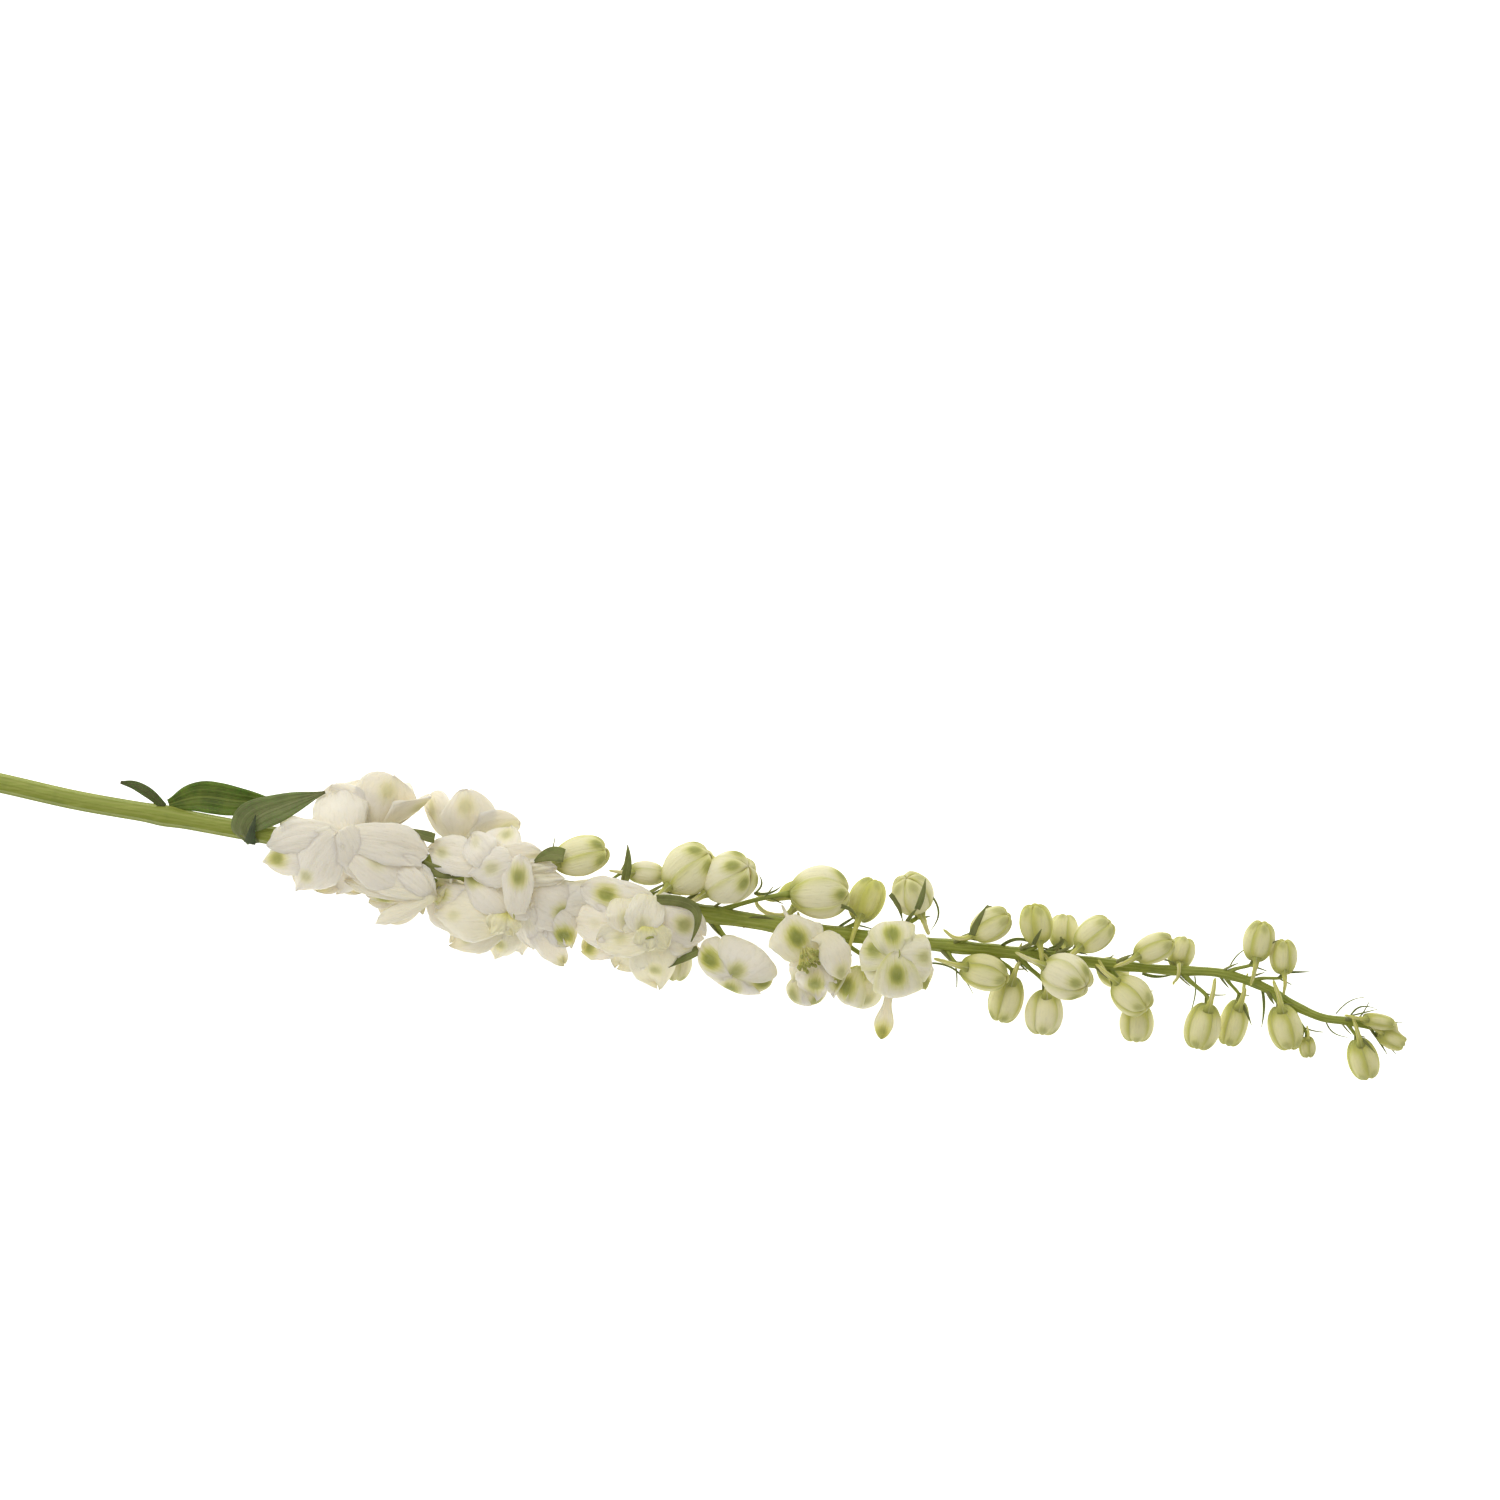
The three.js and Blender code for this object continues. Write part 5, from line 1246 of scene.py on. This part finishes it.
class Shade:
    """A material under construction."""

    def __init__(self, name):
        self.material = bpy.data.materials.new(name)
        self.material.use_nodes = True
        self.tree = self.material.node_tree
        self.tree.nodes.clear()

    def node(self, kind, settings=None, inputs=None, output=0):
        """Adds a node of a kind, named without its prefix: its settings first, then the values or
        links of its sockets; gives one of its outputs."""
        made = self.tree.nodes.new("ShaderNode" + kind)
        for key, value in (settings or {}).items():
            setattr(made, key, value)
        for key, value in (inputs or {}).items():
            if isinstance(value, Value):
                self.tree.links.new(value.socket, made.inputs[key])
            else:
                made.inputs[key].default_value = value
        return Value(self, made.outputs[output]) if made.outputs else made

    def attribute(self, name):
        """One of the values that the points carry."""
        return self.node("Attribute", {"attribute_name": name}, output=2)

    def pattern(self):
        """Across and along of the piece's own pattern, each from 0 to 1."""
        uv = self.node("UVMap", {"uv_map": "pattern"})
        return [self.node("SeparateXYZ", None, {0: uv}, k) for k in (0, 1)]

    def place(self):
        """Object coordinates, in metres."""
        return self.node("TexCoord", output=3)

    def noise(self, vector, scale, detail=2.0, rough=0.5):
        """Soft random clouds from 0 to 1."""
        return self.node("TexNoise", None,
                         {"Vector": vector, "Scale": scale, "Detail": detail, "Roughness": rough})

    def ease(self, value, low, high, start=0.0, end=1.0):
        """A smooth rise from start at low to end at high."""
        return self.node("MapRange", {"interpolation_type": "SMOOTHSTEP"},
                         {0: value, 1: low, 2: high, 3: start, 4: end})

    def curve(self, operation, value):
        """A function of one number, such as its sine."""
        return self.node("Math", {"operation": operation}, {0: value})

    def mix(self, factor, a, b):
        """Colour a where the factor is 0, b where it is 1."""
        a, b = [c if isinstance(c, Value) else (*c, 1.0) for c in (a, b)]
        return self.node("Mix", {"data_type": "RGBA"}, {0: factor, 6: a, 7: b}, 2)

    def surface(self, colour, rough, height, depth, **fixed):
        """The finish: a Principled surface, its bump, and the material's output."""
        normal = self.node("Bump", None, {"Strength": 0.6, "Distance": depth, "Height": height})
        sockets = {"Base Color": colour, "Roughness": rough, "Normal": normal}
        sockets.update({key.replace("_", " ").title().replace("Ior", "IOR"): value
                        for key, value in fixed.items()})
        shader = self.node("BsdfPrincipled", None, sockets)
        self.node("OutputMaterial", None, {"Surface": shader})
        return self.material


def petal_material(name, colours, glow):
    """Petals, sepals and spurs: white to bud green by the piece's own values, with fine veins, a
    soft green spot near the tip and a yellow-green foot. Painted light: a warm glow in the emission
    stands in for light shining through the petals, a pale rim on the margins for light through their
    thin edges, and a darker tan along the folds is painted shade."""
    s = Shade(name)
    across, along = s.pattern()
    place = s.place()
    side = across * 2.0 - 1.0
    green, spot, heart, seed, reach = [s.attribute(label) for label in VALUES]
    cloud = s.noise(place, 260.0, 3.0)
    fine = s.noise(place, 1500.0, 3.0, 0.6)
    warp = (cloud - 0.5) * 0.5
    bundle = s.ease(s.noise(place, 420.0, 2.0), 0.45, 0.7)
    drawn = s.node("CombineXYZ", None, {0: side * 5.0 + seed * 40.0, 1: along * 1.6, 2: seed * 9.0})
    folds = s.noise(drawn, 1.6, 4.0, 0.62)
    veins = s.ease(s.curve("SINE", (side + warp * 0.5) * 21.0 + seed * 6.0 + cloud * 3.0), 0.3, 1.0) * bundle
    edge = s.curve("ABSOLUTE", side) ** 2.0
    foot = s.ease(along, 0.42, 0.0)
    tip = s.ease(along, 0.72, 1.0)
    mask = green * (foot * 1.25 + edge * 1.05 + tip * 0.5 + warp * 0.6) + s.ease(green, 0.8, 1.3) * 0.7
    white = s.mix(s.ease(green, 0.25, 1.0), colours.petal, colours.cream)
    base = s.mix(s.ease(mask, 0.05, 1.0), white, colours.bud)
    deep = s.ease(along, 0.32, 0.02) * s.ease(green, 0.35, 0.75)
    base = s.mix(deep * 0.75, base, colours.spot)
    base = s.mix(heart * (foot * 0.6 + 0.38), base, colours.heart)
    reach = reach * (0.6 + folds * 0.8) + warp * 2.0
    halo = s.ease(reach, 5.4, 1.6) * spot
    core = s.ease(reach, 3.2, 0.9) * spot
    base = s.mix(halo * 0.8, base, colours.bud)
    base = s.mix(core * (0.4 + cloud * 0.7), base, colours.spot)
    base = s.mix(veins * 0.13, base, (0.45, 0.43, 0.28))
    base = s.mix(s.ease(fine, 0.35, 0.75) * 0.05, base, (0.5, 0.48, 0.45))
    # Painted shade: a darker tan along the fold pattern, which also raises the bump, stands in for the shade
    # of the folds.
    base = s.mix(s.ease(folds, 0.5, 0.75) * 0.16, base, (0.50, 0.46, 0.34))
    # Painted light: a pale rim on the margins stands in for light through the thin edges and lifts the shade
    # of the seams between overlapping petals.
    rim = s.ease(s.curve("ABSOLUTE", side), 0.88, 1.0)
    base = s.mix(rim * (0.6 - green * 0.45), base, (0.93, 0.90, 0.74))
    # Painted glow: a warm emission in the petal colour stands in for light shining through the petals from
    # the table.
    painted_glow = s.mix(0.45, base, (0.9, 0.72, 0.42))
    return s.surface(base, 0.5 + fine * 0.15,
                     cloud * 0.5 + fine * 0.2 - veins * 0.3 + folds * 1.6, 0.0005,
                     emission_color=painted_glow, emission_strength=0.08,
                     subsurface_weight=glow, subsurface_radius=(1.0, 0.85, 0.6),
                     subsurface_scale=0.0012, specular_ior_level=0.2)


def stem_material(colours, rib_count):
    """Stem and stalks: light streaks along the ribs over mottled green."""
    s = Shade("stem_green")
    around, _ = s.pattern()
    place = s.place()
    stretched = s.node("Mapping", None, {"Vector": place, "Scale": (60.0, 900.0, 900.0)})
    streak = s.noise(stretched, 1.0, 3.0, 0.6)
    cloud = s.noise(place, 180.0, 3.0)
    fine = s.noise(place, 2200.0, 2.0, 0.6)
    ribs = s.ease(s.curve("SINE", around * (2 * math.pi * rib_count)), 0.1, 1.0)
    light = ribs * 0.28 + s.ease(streak, 0.40, 0.80) * 0.42
    base = s.mix(light, colours.stem, colours.stem_light)
    base = s.mix(s.ease(cloud, 0.5, 0.8) * 0.35, base, (0.12, 0.18, 0.03))
    base = s.mix(s.attribute("green") * 0.4, base, (0.30, 0.37, 0.07))
    base = s.mix(s.ease(fine, 0.62, 0.75) * 0.12, base, (0.42, 0.46, 0.2))
    return s.surface(base, 0.42 + streak * 0.2, streak * 0.5 + fine * 0.3, 0.0003,
                     subsurface_weight=0.1, subsurface_radius=(0.5, 1.0, 0.25),
                     subsurface_scale=0.001, specular_ior_level=0.35)


def leaf_material(name, dark, light, vein):
    """Leaves and bracts: long parallel veins over a mottled blade, paler along the midrib."""
    s = Shade(name)
    across, along = s.pattern()
    place = s.place()
    side = across * 2.0 - 1.0
    cloud = s.noise(place, 220.0, 3.0)
    fine = s.noise(place, 1800.0, 3.0, 0.6)
    lines = s.ease(s.curve("SINE", side * 30.0 + (cloud - 0.5) * 2.0), 0.6, 1.0)
    rib = s.ease(s.curve("ABSOLUTE", side), 0.10, 0.02)
    base = s.mix(s.ease(cloud, 0.3, 0.7), dark, light)
    base = s.mix(lines * 0.35 + rib * 0.5, base, vein)
    tip = s.ease(along, 0.94, 1.0)
    base = s.mix(tip * 0.6, base, (0.12, 0.09, 0.03))
    base = s.mix(s.ease(fine, 0.6, 0.8) * 0.15, base, vein)
    return s.surface(base, 0.45 + fine * 0.2, fine * 0.4 - lines * 0.5 - rib, 0.0003,
                     subsurface_weight=0.15, subsurface_radius=(0.5, 1.0, 0.2),
                     subsurface_scale=0.0015, specular_ior_level=0.35)


# ---- operators ---------------------------------------------------------------------------

class FlowerMaker:
    """What the three operators for flowers share: each makes the flowers of its kind with one
    finish, which the light passes through by its glow."""

    kind = slot = ""
    glow = 0.5

    def execute(self, context):
        material = petal_material(self.slot, context.scene.delphinium_colours, self.glow)
        for flower in FLOWER_LIST:
            if flower.kind == self.kind:
                skin = flower_skin(flower, context.scene.delphinium)
                skin.piece(flower.name + "_petals", flower.name, self.slot, [material])
        return {"FINISHED"}


class DELPHINIUM_OT_stem(Operator):
    """Makes the stem with its stalks and bracts"""

    bl_idname = "delphinium.stem"
    bl_label = "Stem"

    def execute(self, context):
        colours = context.scene.delphinium_colours
        bract = leaf_material("bract_green", colours.bract, (0.26, 0.27, 0.085), (0.36, 0.37, 0.15))
        sizes = context.scene.delphinium
        stem_skin(sizes).piece("stem_ribbed", "stem", "stem_green",
                               [stem_material(colours, sizes.ribs), bract])
        return {"FINISHED"}


class DELPHINIUM_OT_leaves(Operator):
    """Makes the three leaves"""

    bl_idname = "delphinium.leaves"
    bl_label = "Leaves"

    def execute(self, context):
        finishes = {
            "leaf_small": ("leaf_dark", (0.075, 0.09, 0.025), (0.11, 0.125, 0.035), (0.18, 0.2, 0.07)),
            "leaf_broad": ("leaf_bright", (0.075, 0.11, 0.01), (0.14, 0.18, 0.02), (0.24, 0.28, 0.05)),
            "leaf_folded": ("leaf_grey", (0.165, 0.19, 0.065), (0.215, 0.24, 0.085), (0.29, 0.31, 0.13)),
        }
        for name, (slot, dark, light, vein) in finishes.items():
            blade = [leaf_material(slot, dark, light, vein)]
            if name == "leaf_folded":
                # Painted shade: the flap gets darker greens than the rest of the leaf, for the shade where
                # it lies over the stem.
                blade.append(leaf_material("leaf_flap_shaded", (0.06, 0.08, 0.035), (0.085, 0.11, 0.045),
                                           (0.12, 0.15, 0.07)))
            leaf_skin(LEAVES[name], context.scene.delphinium).piece(name + "_blade", name, slot, blade)
        return {"FINISHED"}


class DELPHINIUM_OT_blooms(FlowerMaker, Operator):
    """Makes the open double blooms"""

    bl_idname = "delphinium.blooms"
    bl_label = "Open blooms"
    kind, slot = "bloom", "petal_white"


class DELPHINIUM_OT_half_open(FlowerMaker, Operator):
    """Makes the flowers that are half open"""

    bl_idname = "delphinium.half_open"
    bl_label = "Half-open flowers"
    kind, slot = "half_open", "petal_opening"


class DELPHINIUM_OT_buds(FlowerMaker, Operator):
    """Makes the buds"""

    bl_idname = "delphinium.buds"
    bl_label = "Buds"
    kind, slot, glow = "bud", "bud_green", 0.4


class DELPHINIUM_OT_stage(Operator):
    """Makes the floor, the light and the camera"""

    bl_idname = "delphinium.stage"
    bl_label = "Stage"

    def execute(self, context):
        scene = context.scene
        stage = scene.delphinium_stage
        mesh = bpy.data.meshes.new("floor")
        signs = ((-1, -1), (1, -1), (1, 1), (-1, 1))
        mesh.from_pydata([(a * FLOOR_HALF, b * FLOOR_HALF, -FLOOR_DROP) for a, b in signs],
                         [], [(0, 1, 2, 3)])
        floor = bpy.data.objects.new("floor", mesh)
        scene.collection.objects.link(floor)
        s = Shade("pale_floor")
        shader = s.node("BsdfPrincipled", None, {
            "Base Color": (*stage.floor, 1), "Roughness": 0.9, "Specular IOR Level": 0.1,
            "Emission Color": (1, 1, 1, 1), "Emission Strength": stage.glow})
        s.node("OutputMaterial", None, {"Surface": shader})
        mesh.materials.append(s.material)

        world = bpy.data.worlds.new("soft_sky")
        world.use_nodes = True
        sky = world.node_tree.nodes["Background"]
        sky.inputs["Color"].default_value = (1.0, 0.99, 0.98, 1)
        sky.inputs["Strength"].default_value = stage.sky
        scene.world = world

        lamp = bpy.data.lights.new("soft_lamp", "AREA")
        lamp.energy = stage.lamp
        lamp.shape = "RECTANGLE"
        lamp.size, lamp.size_y = 1.2, 0.9
        lamp.color = (1.0, 0.98, 0.95)
        light = bpy.data.objects.new("soft_lamp", lamp)
        scene.collection.objects.link(light)
        light.location = LAMP_AT
        light.rotation_euler = (-light.location).to_track_quat("-Z", "Y").to_euler()

        camera = bpy.data.cameras.new("camera")
        camera.lens, camera.sensor_width = 85.0, 36.0
        camera.sensor_fit = "HORIZONTAL"
        camera.clip_start, camera.clip_end = 0.05, 20.0
        view = bpy.data.objects.new("camera", camera)
        scene.collection.objects.link(view)
        view.location = np.array(CAMERA_AT) * MM + SHIFT
        scene.camera = view
        scene.view_settings.view_transform = "Standard"
        return {"FINISHED"}


class DELPHINIUM_PT_panel(Panel):
    """Lists the pieces of the spike"""

    bl_idname = "DELPHINIUM_PT_panel"
    bl_label = "Delphinium spike"
    bl_space_type = "VIEW_3D"
    bl_region_type = "UI"
    bl_category = "Delphinium"

    def draw(self, context):
        layout = self.layout
        for group in (context.scene.delphinium, context.scene.delphinium_colours,
                      context.scene.delphinium_stage):
            box = layout.box()
            for key in group.__annotations__:
                box.prop(group, key)
        for operator in OPERATORS:
            layout.operator(operator.bl_idname)


OPERATORS = (DELPHINIUM_OT_stem, DELPHINIUM_OT_leaves, DELPHINIUM_OT_blooms,
             DELPHINIUM_OT_half_open, DELPHINIUM_OT_buds, DELPHINIUM_OT_stage)
CLASSES = (SpikeSizes, SpikeColours, StageSettings, *OPERATORS, DELPHINIUM_PT_panel)


def register():
    for cls in CLASSES:
        bpy.utils.register_class(cls)
    bpy.types.Scene.delphinium = PointerProperty(type=SpikeSizes)
    bpy.types.Scene.delphinium_colours = PointerProperty(type=SpikeColours)
    bpy.types.Scene.delphinium_stage = PointerProperty(type=StageSettings)


def unregister():
    del bpy.types.Scene.delphinium_stage
    del bpy.types.Scene.delphinium_colours
    del bpy.types.Scene.delphinium
    for cls in reversed(CLASSES):
        bpy.utils.unregister_class(cls)


def main():
    """Makes every piece."""
    register()
    bpy.ops.delphinium.stem()
    bpy.ops.delphinium.leaves()
    bpy.ops.delphinium.blooms()
    bpy.ops.delphinium.half_open()
    bpy.ops.delphinium.buds()
    bpy.ops.delphinium.stage()
    bpy.context.view_layer.update()


if __name__ == "__main__":
    main()
